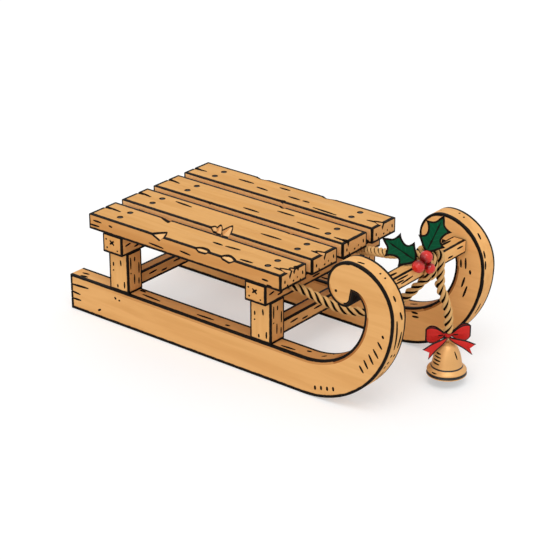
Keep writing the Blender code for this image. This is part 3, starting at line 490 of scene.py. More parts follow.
def make_scorch():
    """A dark band where a distance from an edge, in centimetres, is under a width, and its brown halo."""
    group, given = new_group("scorched_edge", (("Distance", "Float", 1.0), ("Width", "Float", 0.28)),
                             ("Mask", "Halo"))
    place = add(group, "ShaderNodeTexCoord").outputs["Object"]
    wander = noise(group, 70.0, 3.5, Vector=place, Roughness=0.6)
    width = reckon(group, "ADD", given["Width"], reckon(group, "MULTIPLY_ADD", wander, 0.26, -0.13))
    excess = reckon(group, "SUBTRACT", given["Distance"], width)
    add(group, "NodeGroupOutput", {"Mask": ramp(group, excess, -0.02, 0.02, 1.0, 0.0),
                                   "Halo": ramp(group, excess, 0.0, 0.14, 1.0, 0.0)})
    return group


def make_box_edge():
    """How far, in centimetres, a point of a board is from its nearest edge and under its surface.

    The way down from the top counts more and the way up from the foot less."""
    group, given = new_group("board_edge", (("Middle", "Vector", (0, 0, 0)), ("Half", "Vector", (0, 0, 0))),
                             ("Distance", "Depth"))
    place = add(group, "ShaderNodeTexCoord").outputs["Object"]
    local = add(group, "ShaderNodeVectorMath", {0: place, 1: given["Middle"]},
                operation="SUBTRACT").outputs[0]
    size = add(group, "ShaderNodeVectorMath", {0: local}, operation="ABSOLUTE").outputs[0]
    inside = add(group, "ShaderNodeVectorMath", {0: given["Half"], 1: size},
                 operation="SUBTRACT").outputs[0]
    parts = add(group, "ShaderNodeSeparateXYZ", {0: inside}).outputs
    spot = add(group, "ShaderNodeSeparateXYZ", {0: local}).outputs
    upper = reckon(group, "GREATER_THAN", spot["Z"], 0.0)
    slower = reckon(group, "MULTIPLY_ADD", upper, 1.42, 0.78)
    under = reckon(group, "MULTIPLY", parts["Z"], slower)
    low = reckon(group, "MINIMUM", parts["X"], parts["Y"])
    high = reckon(group, "MAXIMUM", parts["X"], parts["Y"])
    third = reckon(group, "MINIMUM", high, under)
    second = reckon(group, "MAXIMUM", low, third)
    first = reckon(group, "MINIMUM", low, under)
    add(group, "NodeGroupOutput", {"Distance": reckon(group, "MULTIPLY", second, 100.0),
                                   "Depth": reckon(group, "MULTIPLY", first, 100.0)})
    return group


wood_grain = make_grain()
scorched_edge = make_scorch()
board_edge = make_box_edge()


def wood(name, top, side, end, stretch, seed, box=None, scorch=0.40, chip=False):
    """Oiled softwood, grain and scorched edges, with painted light and shade: a tone for each way a face
    looks.

    With chip, it is the fresh wood of a torn place, dark along the line where the tear meets the surface."""
    material, tree, shader = new_material(name)
    normal = add(tree, "ShaderNodeTexCoord").outputs["Normal"]
    facing = add(tree, "ShaderNodeVectorMath", {0: normal, 1: normal}, operation="MULTIPLY")
    parts = add(tree, "ShaderNodeSeparateXYZ", {0: facing.outputs[0]}).outputs
    # painted light and shade: each face takes the tone given for the way it looks, up, sideways or along the
    # sled
    colour = mixed(tree, parts["Z"], (*side, 1), (*top, 1))
    colour = mixed(tree, parts["X"], colour, (*end, 1))
    if box:
        low, high = (Vector(corner) for corner in box)
        edge = add(tree, "ShaderNodeGroup", {"Middle": (low + high) / 2, "Half": (high - low) / 2},
                   node_tree=board_edge)
        distance = edge.outputs["Depth" if chip else "Distance"]
    else:
        marks = read_uv(tree, "arris")[1]
        distance = marks["X"]
        # painted shade: the rim darkens into the curl's throat and goes near-black in its notch
        throat = mixed(tree, marks["Y"], colour, (0.42, 0.155, 0.040, 1))
        colour = mixed(tree, ramp(tree, marks["Y"], 1.15, 1.55), throat, INK)
    grain = add(tree, "ShaderNodeGroup", {"Stretch": stretch, "Seed": seed}, node_tree=wood_grain).outputs
    deep = mixed(tree, 1.0, colour, (0.86, 0.79, 0.70, 1), blend_type="MULTIPLY")
    grained = mixed(tree, grain["Tone"], deep, colour)
    # the scorch is wider on the faces that look up
    wide = ramp(tree, parts["Z"], 0.0, 1.0, scorch, scorch * (1.65 if box else 1.35))
    burn = add(tree, "ShaderNodeGroup", {"Distance": distance, "Width": wide},
               node_tree=scorched_edge).outputs
    browned = mixed(tree, reckon(tree, "MULTIPLY", burn["Halo"], 0.30), grained, (0.20, 0.075, 0.02, 1))
    feed(tree, shader, {"Base Color": mixed(tree, burn["Mask"], browned, INK),
                        "Roughness": ramp(tree, grain["Tone"], 0.0, 1.0, 0.72, 0.58),
                        "Normal": raised(tree, grain["Height"], 0.12, 0.0008), "Specular IOR Level": 0.10})
    return material


def make_groove_char_and_shade():
    """Near-black in each check, chip, groove and engraved stroke: char in the wood, and painted shade in the
    recess.
    """
    material, tree, shader = new_material("groove_char_and_shade")
    speck = noise(tree, 400.0, 2.0)
    feed(tree, shader, {"Base Color": mixed(tree, speck, INK, (0.012, 0.007, 0.004, 1)),
                        "Roughness": 0.85, "Specular IOR Level": 0.1})
    return material


char_and_groove_shade = make_groove_char_and_shade()


def carve(work, spine, width, depth):
    """Add a groove with pointed ends along surface points, each with its outward normal."""
    rings = []
    last = len(spine) - 1
    lift = 0.0006
    width *= 1 + lift / depth
    for i, (point, out) in enumerate(spine):
        ahead = (spine[min(i + 1, last)][0] - spine[max(i - 1, 0)][0]).normalized()
        beside = ahead.cross(out).normalized()
        swell = math.sin(math.pi * (0.14 + 0.72 * i / last)) ** 0.6
        top = point + out * lift
        rings.append([work.verts.new(corner) for corner in (
            top - beside * width / 2 * swell, top + beside * width / 2 * swell, point - out * depth * swell)])
    for before, after in zip(rings, rings[1:]):
        for a, b in ((0, 1), (1, 2), (2, 0)):
            work.faces.new((before[a], before[b], after[b], after[a]))
    work.faces.new(rings[0][::-1])
    work.faces.new(rings[-1])


def finish_mesh(piece):
    """Turn a piece's modifiers into plain mesh."""
    done = bpy.data.meshes.new_from_object(piece.evaluated_get(bpy.context.evaluated_depsgraph_get()))
    piece.modifiers.clear()
    piece.data = done


def cut(piece, work, torn_wood=None):
    """Take the cutting mesh out of a piece: its faces leave near-black char and painted shade, or torn wood
    in chips.
    """
    bmesh.ops.recalc_face_normals(work, faces=work.faces)
    tool = new_piece("grooves", work, char_and_groove_shade, torn_wood or char_and_groove_shade)
    modifier = piece.modifiers.new("grooves", "BOOLEAN")
    modifier.object = tool
    modifier.operation = "DIFFERENCE"
    modifier.solver = "EXACT"
    modifier.use_self = True
    modifier.material_mode = "TRANSFER"
    finish_mesh(piece)
    bpy.data.objects.remove(tool, do_unlink=True)


def sharpen(piece, angle=25):
    """Smooth shading, with sharp edges where two faces turn by more than an angle."""
    piece.data.shade_smooth()
    piece.data.set_sharp_from_angle(angle=math.radians(angle))


# painted light and shade: tones of the top, of the faces and of the curl's front; the left top darker, its
# faces lighter
RUNNER_TONES = {"right": ((0.88, 0.485, 0.18), (0.80, 0.43, 0.155), (0.90, 0.49, 0.175)),
                "left": ((0.84, 0.46, 0.17), (0.94, 0.50, 0.18), (0.94, 0.51, 0.185))}
FACE_CHECKS = {
    "right": [((-412, 56), (-362, 59), 5.6), ((-413, 40), (-386, 38), 5), ((-410, 24), (-385, 25), 5),
              ((-288, 61), (-283, 57), 5.6), ((-275, 59), (-274, 55), 5.6), ((-337, 16), (-328, 21), 5),
              ((236, 26), (236, 17), 5.6), ((250, 30), (251, 21), 5.6),
              ((265, 33), (265, 24), 5.6), ((279, 37), (280, 28), 5.6), ((282, 243), (284, 238), 6.5),
              ((340, 102), (350, 89), 5.2), ((350, 117), (360, 101), 5.2), ((361, 132), (372, 114), 5.2),
              ((371, 146), (383, 130), 5.2), ((381, 164), (391, 151), 5.2), ((391, 180), (394, 174), 5.6)],
    "left": [((-412, 52), (-370, 55), 5.6), ((-413, 30), (-388, 31), 5), ((251, 66), (267, 68), 5),
             ((249, 75), (265, 76), 5), ((240, 30), (262, 36), 5)],
}
INNER_CHECKS = {"right": [((252, 60), (272, 66), 5), ((366, 205), (365, 185), 5)],
                "left": [((362, 222), (363, 205), 5), ((373, 228), (374, 205), 5),
                         ((384, 205), (385, 196), 5.6), ((373, 187), (366, 164), 5),
                         ((379, 169), (370, 143), 5), ((251, 66), (267, 68), 5), ((249, 75), (265, 76), 5)]}
# strokes on the curl's outer rim: an angle up from the nose's middle and a Y, in millimetres, at each end
RIM_CHECKS = {
    "right": [((86, -159), (78, -155)), ((59, -149), (57, -149)), ((52, -147), (50, -147)),
              ((30, -153), (23, -152)), ((10, -147), (0, -141)), ((2, -158), (-17, -152)),
              ((-7, -140), (-17, -141)), ((-20, -153), (-22, -153)), ((-21, -142), (-23, -142)),
              ((-25, -153), (-27, -153)), ((-28, -156), (-30, -156)), ((-34, -146), (-42, -147))],
    "left": [((79, 157), (77, 157)), ((71, 153), (69, 153)), ((45, 149), (37, 147)), ((24, 141), (15, 140)),
             ((12, 139), (2, 138)), ((-5, 134), (-16, 134)), ((-22, 150), (-30, 151)),
             ((98, 146), (106, 148))],
}
# strokes along the top, as X and Y, and on the rim inside the curl, as an angle and a Y
TOP_STROKES = {
    "right": [((-392, -162), (-373, -160)), ((-398, -150), (-380, -148)), ((-245, -139), (-228, -140)),
              ((-227, -151), (-176, -154)), ((-77, -154), (-33, -153)), ((-2, -155), (9, -154)),
              ((62, -148), (74, -148)), ((142, -158), (176, -156)), ((196, -145), (206, -143))],
    "left": [((-386, 158), (-352, 156)), ((-210, 148), (-160, 150)), ((-62, 152), (-20, 150)),
             ((8, 145), (30, 146)), ((150, 152), (184, 150))],
}
THROAT_STROKES = {"right": [((-78, -151), (-74, -146)), ((-71, -138), (-68, -129.5))],
                  "left": [((-80, 150), (-73, 152)), ((-30, 146), (-18, 148)), ((-52, 158), (-44, 157))]}
TAIL_CHECKS = (0.056, 0.040, 0.024)
# how wide and deep each kind of stroke is cut; a check in a face has its own width, in millimetres
FACE_DEEP = 0.0015
RIM_GROOVE = (0.0058, 0.0016)
THROAT_GROOVE = (0.0060, 0.0016)
TOP_GROOVE = (0.0068, 0.0014)
TAIL_GROOVE = (0.0050, 0.0030)


def rim_point(angle, y):
    """A place on the curl's outer rim and the way that it faces."""
    turn = math.radians(angle)
    out = Vector((math.cos(turn), 0, math.sin(turn)))
    if angle <= 0:
        return Vector((NOSE_X, y, NOSE)) + out * NOSE, out
    return Vector((CREST_X, y, NOSE)) + out * CREST_ROUND, out


def throat_point(angle, y):
    """A place on the rim inside the curl and the way that it faces."""
    turn = math.radians(angle)
    out = Vector((-math.cos(turn) / THROAT[0], 0, -math.sin(turn) / THROAT[1])).normalized()
    return Vector((NOSE_X + THROAT[0] * math.cos(turn), y, NOSE + THROAT[1] * math.sin(turn))), out


for side, (low, high) in RUNNER_SIDES.items():
    runner = scroll_board("runner_board_" + side, low, high)
    runner.data.materials.append(wood("runner_wood_" + side, *RUNNER_TONES[side], (3, 40, 40),
                                      seed=3.1 if side == "right" else 3.6, scorch=0.50))
    work = bmesh.new()
    outer, inner = (low, high) if side == "right" else (high, low)
    out = Vector((0, -1 if side == "right" else 1, 0))
    for y, way, checks in ((outer, out, FACE_CHECKS[side]), (inner, -out, INNER_CHECKS[side])):
        for (x1, z1), (x2, z2), width in checks:
            a = Vector((x1, 0, z1)) / 1000
            b = Vector((x2, 0, z2)) / 1000
            a.y = b.y = y
            carve(work, [(a.lerp(b, i / 4), way) for i in range(5)], width / 1000, FACE_DEEP)
    for strokes, place, groove in ((RIM_CHECKS[side], rim_point, RIM_GROOVE),
                                   (THROAT_STROKES[side], throat_point, THROAT_GROOVE)):
        for (angle, y), (last_angle, last_y) in strokes:
            carve(work, [place(angle + (last_angle - angle) * i / 8, (y + (last_y - y) * i / 8) / 1000)
                         for i in range(9)], *groove)
    for first, last in TOP_STROKES[side]:
        a, b = (Vector((x / 1000, y / 1000, RUNNER_TOP)) for x, y in (first, last))
        carve(work, [(a.lerp(b, i / 4), Vector((0, 0, 1))) for i in range(5)], *TOP_GROOVE)
    # the tail's end grain has opened at its checks
    for z in TAIL_CHECKS:
        carve(work, [(Vector((REAR, low + (high - low) * (i / 4), z)), Vector((-1, 0, 0))) for i in range(5)],
              *TAIL_GROOVE)
    cut(runner, work)
    sharpen(runner, angle=20)
    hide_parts("runner_" + side)
    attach(runner, "sled")

# Posts and stretchers: square blocks stand on the runners over a long dowel, and low rails with stub
# tenons tie each pair across the sled. All are sawn softwood, nicked and scorched at the edges.
POST_TOP = 0.167
POST_HALF = 0.026
BEARER_X = {"rear": -0.273, "front": 0.101}
RAIL_HALF = 0.015
RAIL_END = 0.1287
RAIL_UNDER = 0.080
RAIL_TOP = 0.107
# the tenon's middle and half size out from the rail's end, and its full thickness along the sled and up
TENON_MIDDLE = 0.1329
TENON_SIZE = (0.016, 0.0102, 0.015)
# tones of one wood, painted lighter and darker as painted light and shade for the way each face looks
TAN = (0.80, 0.43, 0.150)
SHADED = (0.66, 0.315, 0.098)
END_TONE = (0.82, 0.43, 0.155)
CHECK_GROOVE = (0.0046, 0.0014)
# strokes on a post's outer face from its middle, on its front and back from its inner edge, and on the
# rail's front and back, all as a way across and a height, in millimetres
POST_STROKES = (((-14, 141), (-14, 132)), ((-15, 124), (-14, 121)), ((15, 104), (15, 89)),
                ((-4, 94), (-4, 86)), ((6, 150), (7, 137)))
POST_CHECKS = (((3, 158), (3, 132)), ((3, 124), (3, 121)), ((15, 156), (15, 146)), ((13, 118), (13, 96)),
               ((27, 140), (27, 116)), ((26, 106), (26, 92)))
RAIL_STROKES = (((-96, 96), (-72, 97)), ((-58, 90), (-40, 90)), ((-20, 98), (8, 98)), ((30, 89), (46, 90)),
                ((62, 97), (92, 96)))


def plank(name, low, high, bevel):
    """A rectangular board between two corners, its arrises eased."""
    low = Vector(low)
    high = Vector(high)
    work = bmesh.new()
    bmesh.ops.create_cube(work, size=1.0)
    for vert in work.verts:
        vert.co = Vector([low[i] if vert.co[i] < 0 else high[i] for i in range(3)])
    bmesh.ops.bevel(work, geom=list(work.edges), offset=bevel, segments=2, profile=0.6, affect="EDGES")
    return new_piece(name, work)


def on_face(axis, place, way, strokes, shift=0.0):
    """Strokes as marks for a face across an axis, moved along it by a shift."""
    return [(axis, place, way, (a + shift, b), (c + shift, d)) for (a, b), (c, d) in strokes]


def carve_marks(work, marks, width=CHECK_GROOVE[0], depth=CHECK_GROOVE[1]):
    """Straight checks in faces: each mark is an axis, the face's place and way, and two points in mm."""
    for axis, place, way, first, second in marks:
        ends = []
        for pair in (first, second):
            spot = [value / 1000 for value in pair]
            spot.insert(axis, place)
            ends.append(Vector(spot))
        out = Vector([way if i == axis else 0 for i in range(3)])
        wide = width * (1.6 if axis == 2 else 1.0)
        carve(work, [(ends[0].lerp(ends[1], i / 4), out) for i in range(5)], wide, depth)


for end, middle in BEARER_X.items():
    faces = ((1, middle + POST_HALF), (-1, middle - POST_HALF))
    for side, (low, high) in RUNNER_SIDES.items():
        corners = ((middle - POST_HALF, low, RUNNER_TOP + FIT_GAP),
                   (middle + POST_HALF, high, POST_TOP - FIT_GAP))
        post = plank("post_%s_%s_block" % (end, side), *corners, bevel=0.0012)
        # painted light and shade: the front and back faces take a darker tone than the top and the sides
        post.data.materials.append(wood("post_wood_%s_%s" % (end, side), TAN, TAN, (0.75, 0.37, 0.125),
                                        (45, 45, 5), seed=5.0 + middle * 9 + low * 7, box=corners))
        outer, way = (low, -1) if side == "right" else (high, 1)
        marks = on_face(1, outer, way, POST_STROKES, middle * 1000)
        for turn, face in faces:
            marks += on_face(0, face, turn, POST_CHECKS, low * 1000 + 6)
        work = bmesh.new()
        carve_marks(work, marks)
        cut(post, work)
        sharpen(post)
        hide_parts("post_%s_%s" % (end, side))
        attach(post, "sled")
    corners = ((middle - RAIL_HALF, -RAIL_END, RAIL_UNDER), (middle + RAIL_HALF, RAIL_END, RAIL_TOP))
    rail = plank("stretcher_%s_rail" % end, *corners, bevel=0.0012)
    # painted light and shade: the top, front and back take one tone and the ends the shaded one
    rail.data.materials.append(wood("stretcher_wood_" + end, END_TONE, SHADED, END_TONE, (50, 5, 50),
                                    seed=2.0 + middle * 5, box=corners))
    work = bmesh.new()
    carve_marks(work, on_face(0, middle + RAIL_HALF, 1, RAIL_STROKES)
                + on_face(0, middle - RAIL_HALF, -1, RAIL_STROKES))
    cut(rail, work)
    tenon = bmesh.new()
    for sign in (-1, 1):
        for vert in bmesh.ops.create_cube(tenon, size=1.0)["verts"]:
            vert.co = Vector((middle + vert.co.x * TENON_SIZE[0],
                              sign * (TENON_MIDDLE + vert.co.y * TENON_SIZE[1]),
                              (RAIL_UNDER + RAIL_TOP) / 2 + vert.co.z * TENON_SIZE[2]))
    tenons = new_piece("tenons", tenon, rail.data.materials[0])
    joined = rail.modifiers.new("tenons", "BOOLEAN")
    joined.object = tenons
    joined.operation = "UNION"
    joined.solver = "EXACT"
    finish_mesh(rail)
    bpy.data.objects.remove(tenons, do_unlink=True)
    sharpen(rail)
    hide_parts("stretcher_" + end)
    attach(rail, "sled")

# Bearers: heavy cross rails that lie on the posts and carry the seat; the front one is bored for the
# rope. Their end grain shows under the seat's outer edges, each end with a star check.
SEAT_SIDE = 0.187
BEARER_TOP = 0.2077
HOLE_ROUND = 0.0102
STAR_GROOVE = (0.0050, 0.0018)
# the star's middle in the end face, and the half length of its strokes, in millimetres
STAR = (-1, 192)
STAR_REACH = 7.5
# strokes in the end faces, and on the front and back, as a way across and a height
BEARER_END_STROKES = (((-15, 181), (-14, 177)), ((13, 179), (14, 176)), ((-17, 199), (-16, 195)))
BEARER_STROKES = (((-176, 188), (-160, 190)), ((-150, 179), (-134, 180)), ((-88, 190), (-52, 191)),
                  ((-40, 178), (-16, 178)), ((12, 190), (40, 189)), ((60, 180), (88, 181)),
                  ((132, 189), (168, 190)))
for end, middle in BEARER_X.items():
    corners = ((middle - POST_HALF, -SEAT_SIDE, POST_TOP), (middle + POST_HALF, SEAT_SIDE, BEARER_TOP))
    rail = plank("bearer_%s_rail" % end, *corners, bevel=0.0014)
    # painted light and shade: the top is lightest, the front and back darker and the ends darker still
    rail.data.materials.append(wood("bearer_wood_" + end, TAN, (0.72, 0.36, 0.115), (0.76, 0.38, 0.13),
                                    (45, 4, 45), seed=8.0 + middle * 3, box=corners))
    x = middle * 1000
    marks = []
    stars = []
    for face, way in ((-SEAT_SIDE, -1), (SEAT_SIDE, 1)):
        for angle in (38, 142):
            reach = (STAR_REACH * math.cos(math.radians(angle)), STAR_REACH * math.sin(math.radians(angle)))
            stars.append((1, face, way, (x + STAR[0] - reach[0], STAR[1] - reach[1]),
                          (x + STAR[0] + reach[0], STAR[1] + reach[1])))
        marks += on_face(1, face, way, BEARER_END_STROKES, x)
    for turn, face in ((1, middle + POST_HALF), (-1, middle - POST_HALF)):
        marks += on_face(0, face, turn, BEARER_STROKES)
    work = bmesh.new()
    carve_marks(work, marks)
    carve_marks(work, stars, *STAR_GROOVE)
    cut(rail, work)
    if end == "front":
        hole = bmesh.new()
        for sign in (-1, 1):
            place = Matrix.Translation((middle, sign * ROPE_HOLE_SIDE, ROPE_HOLE_HIGH))
            bmesh.ops.create_cone(hole, cap_ends=True, segments=32, radius1=HOLE_ROUND, radius2=HOLE_ROUND,
                                  depth=0.08, matrix=place @ Matrix.Rotation(math.radians(90), 4, "Y"))
        cut(rail, hole)
    sharpen(rail)
    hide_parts("bearer_" + end)
    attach(rail, "sled")

# Seat slats: four boards along the sled, weathered and split at the ends, with drying checks along
# the grain and splinters gone from their edges. Each is nailed down twice on each bearer.
SLAT_REAR = -0.336
SLAT_FRONT = 0.164
SEAT_TOP = 0.241
SEAT_UNDER = 0.208
SLAT_LOWS = (-0.187, -0.089, 0.009, 0.107)
SLAT_WIDE = 0.080
SLAT_TONE = (0.745, 0.398, 0.134)
SLAT_GRAIN = (3.2, 42, 42)
# the nails' heads sit in dished places, this far to each side of a slat's middle
NAIL_ACROSS = 0.015
NAIL_HEAD = 0.0056
# where along the sled each slat's nails go
NAIL_LINES = ((-0.272, 0.113), (-0.272, 0.108), (-0.262, 0.108), (-0.270, 0.093))
DISH_DEEP = 0.0020
DISH_TALL = 0.0022
# checks in the top of each slat, as X and Y in millimetres
TOP_CHECKS = [
    [((52, -172), (83, -171)), ((-43, -141), (-17, -142)), ((-11, -141), (25, -138)),
     ((-335, -137), (-290, -141)), ((127, -161), (163, -163))],
    [((-240, -28), (-194, -31)), ((4, -49), (55, -48)), ((-335, -36), (-296, -42)), ((134, -54), (163, -55))],
    [((-110, 34), (-68, 33)), ((-44, 63), (0, 63)), ((23, 42), (81, 41)), ((-335, 58), (-300, 52)),
     ((128, 27), (163, 26))],
    [((-219, 150), (-177, 150)), ((-161, 139), (-129, 137)), ((-75, 139), (-44, 138)),
     ((-38, 139), (-20, 139)), ((1, 123), (64, 120)), ((-335, 138), (-300, 141)),
     ((127, 138), (163, 143)), ((-120, 166), (-92, 166))],
]
# checks in the sides, as X and a height, and how far along the sled they move from slat to slat
SIDE_CHECKS = [((-324, 229), (-301, 229)), ((-334, 218), (-307, 219)), ((-281, 228), (-271, 227)),
               ((-172, 220), (-133, 218)), ((-90, 225), (-62, 223)), ((118, 223), (134, 223)),
               ((130, 214), (144, 213))]
SIDE_DRIFTS = (0, 31, -24, 12)
# the sides that face a gap are painted paler, as painted light against the shade between the slats
GAP_SIDE_PAINTED_LIGHT = (0.90, 0.52, 0.22)
# chips off the long edges: the edge's Y, the way into the board, then the outline on the top face as X
# and depth in, and the outline on the side face as X and depth down
CHIPS = [
    [(-187, 1, ((-171, 0), (-147, 31), (-131, 0)), ((-171, 0), (-144, 12), (-131, 0))),
     (-187, 1, ((-54, 0), (-46, 14), (-29, 16), (-10, 0)), ((-54, 0), (-41, 9), (-24, 8), (-10, 0))),
     (-187, 1, ((12, 0), (19, 19), (32, 18), (56, 0)), ((12, 0), (19, 7), (37, 11), (57, 0))),
     (-107, -1, ((-214, 0), (-176, 19), (-181, 0)), ((-214, 0), (-181, 7)))],
    [(-89, 1, ((-96, 0), (-93, 15), (-72, 0)), ((-94, 0), (-86, 12), (-72, 12), (-70, 0))),
     (-89, 1, ((-79, 0), (-88, 29), (-64, 0)), ((-80, 0), (-78, 13), (-65, 13), (-62, 0))),
     (-89, 1, ((-66, 0), (-67, 42), (-41, 0)), ((-66, 0), (-64, 13), (-48, 13), (-42, 0))),
     (-9, -1, ((40, 0), (48, 8), (60, 0)), ((40, 0), (50, 7), (60, 0)))],
    [(9, 1, ((-190, 0), (-182, 7), (-168, 0)), ((-190, 0), (-178, 6), (-168, 0))),
     (89, -1, ((-62, 0), (-44, 11), (-40, 0)), ((-62, 0), (-42, 6)))],
    [(187, -1, ((-202, 0), (-190, 9), (-172, 8), (-157, 0)), ((-202, 0), (-178, 9), (-157, 0))),
     (187, -1, ((-26, 0), (-12, 10), (4, 7), (24, 0)), ((-26, 0), (-4, 9), (24, 0))),
     (107, 1, ((-84, 0), (-66, 10), (-62, 0)), ((-84, 0), (-64, 6)))],
]
# a dark line runs round each chip and split on the top face, where it has shrunk to this share of its outline
RIM_SHARE = 0.88
CHIP_LINE = (0.0034, 0.0013)
# the chip on this edge takes the near-black of the grooves, the others show fresh wood
DARK_CHIP_EDGE = -107
# notches split out of the ends: the end's X, the way into the board, Y, half width, reach and depth
END_SPLITS = [
    [(164, -1, -158, 9, 30, 17), (164, -1, -145, 7, 14, 12), (164, -1, -133, 6, 11, 9),
     (-336, 1, -140, 4, 30, 9)],
    [(164, -1, -50, 8, 26, 15), (-336, 1, -40, 4, 28, 9)],
    [(164, -1, 27, 6, 22, 13), (-336, 1, 55, 4, 26, 9)],
    [(164, -1, 142, 8, 26, 14), (-336, 1, 140, 4, 26, 9)],
]
# a split narrower than this takes the near-black of the grooves, a wider one shows fresh wood
FRESH_SPLIT = 6.5
# checks in the ends, as a way across the first slat and a height
END_MARKS = [((-174, 228), (-173, 221)), ((-166, 217), (-165, 213)), ((-150, 218), (-145, 219)),
             ((-137, 222), (-134, 222)), ((-120, 230), (-118, 222)), ((-127, 216), (-126, 212))]


def add_hull(work, points, torn=True):
    """A closed convex chip through the points; torn ones show fresh wood."""
    verts = [work.verts.new(point) for point in points]
    made = bmesh.ops.convex_hull(work, input=verts)
    for part in made["geom"]:
        if isinstance(part, bmesh.types.BMFace):
            part.material_index = 1 if torn else 0
    spare = {part for part in made["geom_interior"] + made["geom_unused"]
             if isinstance(part, bmesh.types.BMVert)}
    bmesh.ops.delete(work, geom=list(spare), context="VERTS")


for index, low in enumerate(SLAT_LOWS):
    corners = ((SLAT_REAR, low, SEAT_UNDER), (SLAT_FRONT, low + SLAT_WIDE, SEAT_TOP))
    slat = plank("seat_board_%d" % (index + 1), *corners, bevel=0.0016)
    # painted light and shade: the top, sides and ends each take their own tone, the first slat's sides the
    # shaded one
    slat.data.materials.append(wood("slat_wood_%d" % (index + 1), SLAT_TONE, GAP_SIDE_PAINTED_LIGHT if index else SHADED,
                                    END_TONE, SLAT_GRAIN, seed=1.0 + 3.7 * index, box=corners, scorch=0.42))
    work = bmesh.new()
    marks = on_face(2, SEAT_TOP, 1, TOP_CHECKS[index])
    drift = SIDE_DRIFTS[index]
    for first, second in SIDE_CHECKS:
        for face, way in ((low, -1), (low + SLAT_WIDE, 1)):
            if SLAT_REAR * 1000 < first[0] + drift and second[0] + drift < SLAT_FRONT * 1000:
                marks += on_face(1, face, way, [(first, second)], drift)
    for stroke in END_MARKS:
        for face, way in ((SLAT_FRONT, 1), (SLAT_REAR, -1)):
            marks += on_face(0, face, way, [stroke], (low - SLAT_LOWS[0]) * 1000)
    carve_marks(work, marks)
    rims = []
    for edge, inward, above, beside in CHIPS[index]:
        rims.append([(x, edge + inward * reach * RIM_SHARE) for x, reach in above])
        add_hull(work, [Vector((x / 1000, (edge + inward * (reach - 1)) / 1000, SEAT_TOP + 0.0012))
                        for x, reach in above]
                 + [Vector((x / 1000, (edge - inward * 2) / 1000, SEAT_TOP + 0.0006 - drop / 1000))
                    for x, drop in beside], torn=edge != DARK_CHIP_EDGE)
    for face, inward, middle, half, reach, deep in END_SPLITS[index]:
        rims.append([(face, middle + half * RIM_SHARE),
                     (face + inward * reach * RIM_SHARE, middle + half * 0.2),
                     (face + inward * reach * 0.4, middle - half * 0.75), (face, middle - half * RIM_SHARE)])
        x = face / 1000
        outer = x - inward * 0.002
        top = SEAT_TOP + 0.002
        add_hull(work, [Vector(spot) for spot in (
            (outer, (middle - half) / 1000, top), (outer, (middle + half) / 1000, top),
            (x + inward * reach / 1000, (middle + half * 0.2) / 1000, top),
            (outer, middle / 1000, SEAT_TOP - deep / 1000),
            (x + inward * reach / 2500, (middle - half * 0.8) / 1000, top))], torn=half > FRESH_SPLIT)
    carve_marks(work, [mark for rim in rims for mark in on_face(2, SEAT_TOP, 1, zip(rim, rim[1:]))],
                *CHIP_LINE)
    for x in NAIL_LINES[index]:
        for y in (low + SLAT_WIDE / 2 - NAIL_ACROSS, low + SLAT_WIDE / 2 + NAIL_ACROSS):
            bmesh.ops.create_cone(work, cap_ends=True, segments=24, radius1=NAIL_HEAD + 0.0003,
                                  radius2=NAIL_HEAD + 0.0013, depth=DISH_TALL,
                                  matrix=Matrix.Translation((x, y, SEAT_TOP - DISH_DEEP + DISH_TALL / 2)))
    # painted light and shade: torn faces that look up are a little lighter than those that look sideways or
    # along
    torn_wood = wood("torn_wood_%d" % (index + 1), (0.86, 0.52, 0.23), (0.82, 0.48, 0.20),
                     (0.80, 0.46, 0.19), SLAT_GRAIN, seed=40.0 + index, box=corners, scorch=0.28, chip=True)
    cut(slat, work, torn_wood)
    sharpen(slat)
    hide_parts("seat_slat_%d" % (index + 1))
    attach(slat, "sled")

# Crossbar: a square softwood bar with eased edges between the two scrolls, held by a blind dowel at
# each end. Its corners are scorched as the boards' are, and it has a few short drying checks.
BAR_BEHIND = 0.343
BAR_TOP = 0.268
BAR_GROOVE = (0.0044, 0.0016)
# strokes on the front and back as a way across and a height, and on the top as X and a way across
BAR_FRONT_STROKES = (((-107, 257), (-81, 256)), ((-104, 263), (-68, 262)), ((-90, 251), (-52, 254)),
                     ((95, 259), (116, 258)), ((65, 250), (82, 249)))
BAR_BACK_STROKES = (((-100, 256), (-70, 255)), ((60, 250), (100, 251)))
BAR_TOP_STROKES = (((358, -112), (359, -84)), ((352, 70), (353, 104)))
corners = ((BAR_BEHIND, -RAIL_END, BAR_UNDER), (BAR_AHEAD, RAIL_END, BAR_TOP))
bar = plank("crossbar_rail", *corners, bevel=BAR_ROUND)
# painted light and shade: the front and back are lighter than the top, and the ends take the shaded tone
bar.data.materials.append(wood("crossbar_wood", TAN, SHADED, (0.98, 0.54, 0.20), (45, 4, 45),
                               seed=21.0, box=corners, scorch=0.34))
work = bmesh.new()
carve_marks(work, on_face(0, BAR_AHEAD, 1, BAR_FRONT_STROKES) + on_face(0, BAR_BEHIND, -1, BAR_BACK_STROKES)
            + on_face(2, BAR_TOP, 1, BAR_TOP_STROKES), *BAR_GROOVE)
cut(bar, work)
sharpen(bar, angle=35)
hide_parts("crossbar")
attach(bar, "sled")

# Dowels: turned hardwood pins, driven into the posts, bearers and crossbar. They hold the frame together
# and are all hidden once it stands.
PIN_TONE = (0.55, 0.28, 0.09)
dowel_wood = wood("dowel_wood", PIN_TONE, PIN_TONE, PIN_TONE, (50, 50, 6), seed=30.0,
                  box=((-1, -1, -1), (1, 1, 1)))


def dress(name, material):
    """Give one of the part's own nodes its material."""
    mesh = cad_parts[name].data
    mesh.materials.clear()
    mesh.materials.append(material)


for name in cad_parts:
    if "dowel" in name:
        dress(name, dowel_wood)

# Nails: hand-forged iron rose heads, driven flush into a dished place in the seat.
# A Geometry Nodes tree sets one head and shank at each nail place on the seat.
NAIL_LONG = 0.055
NAIL_SHANK = 0.0016


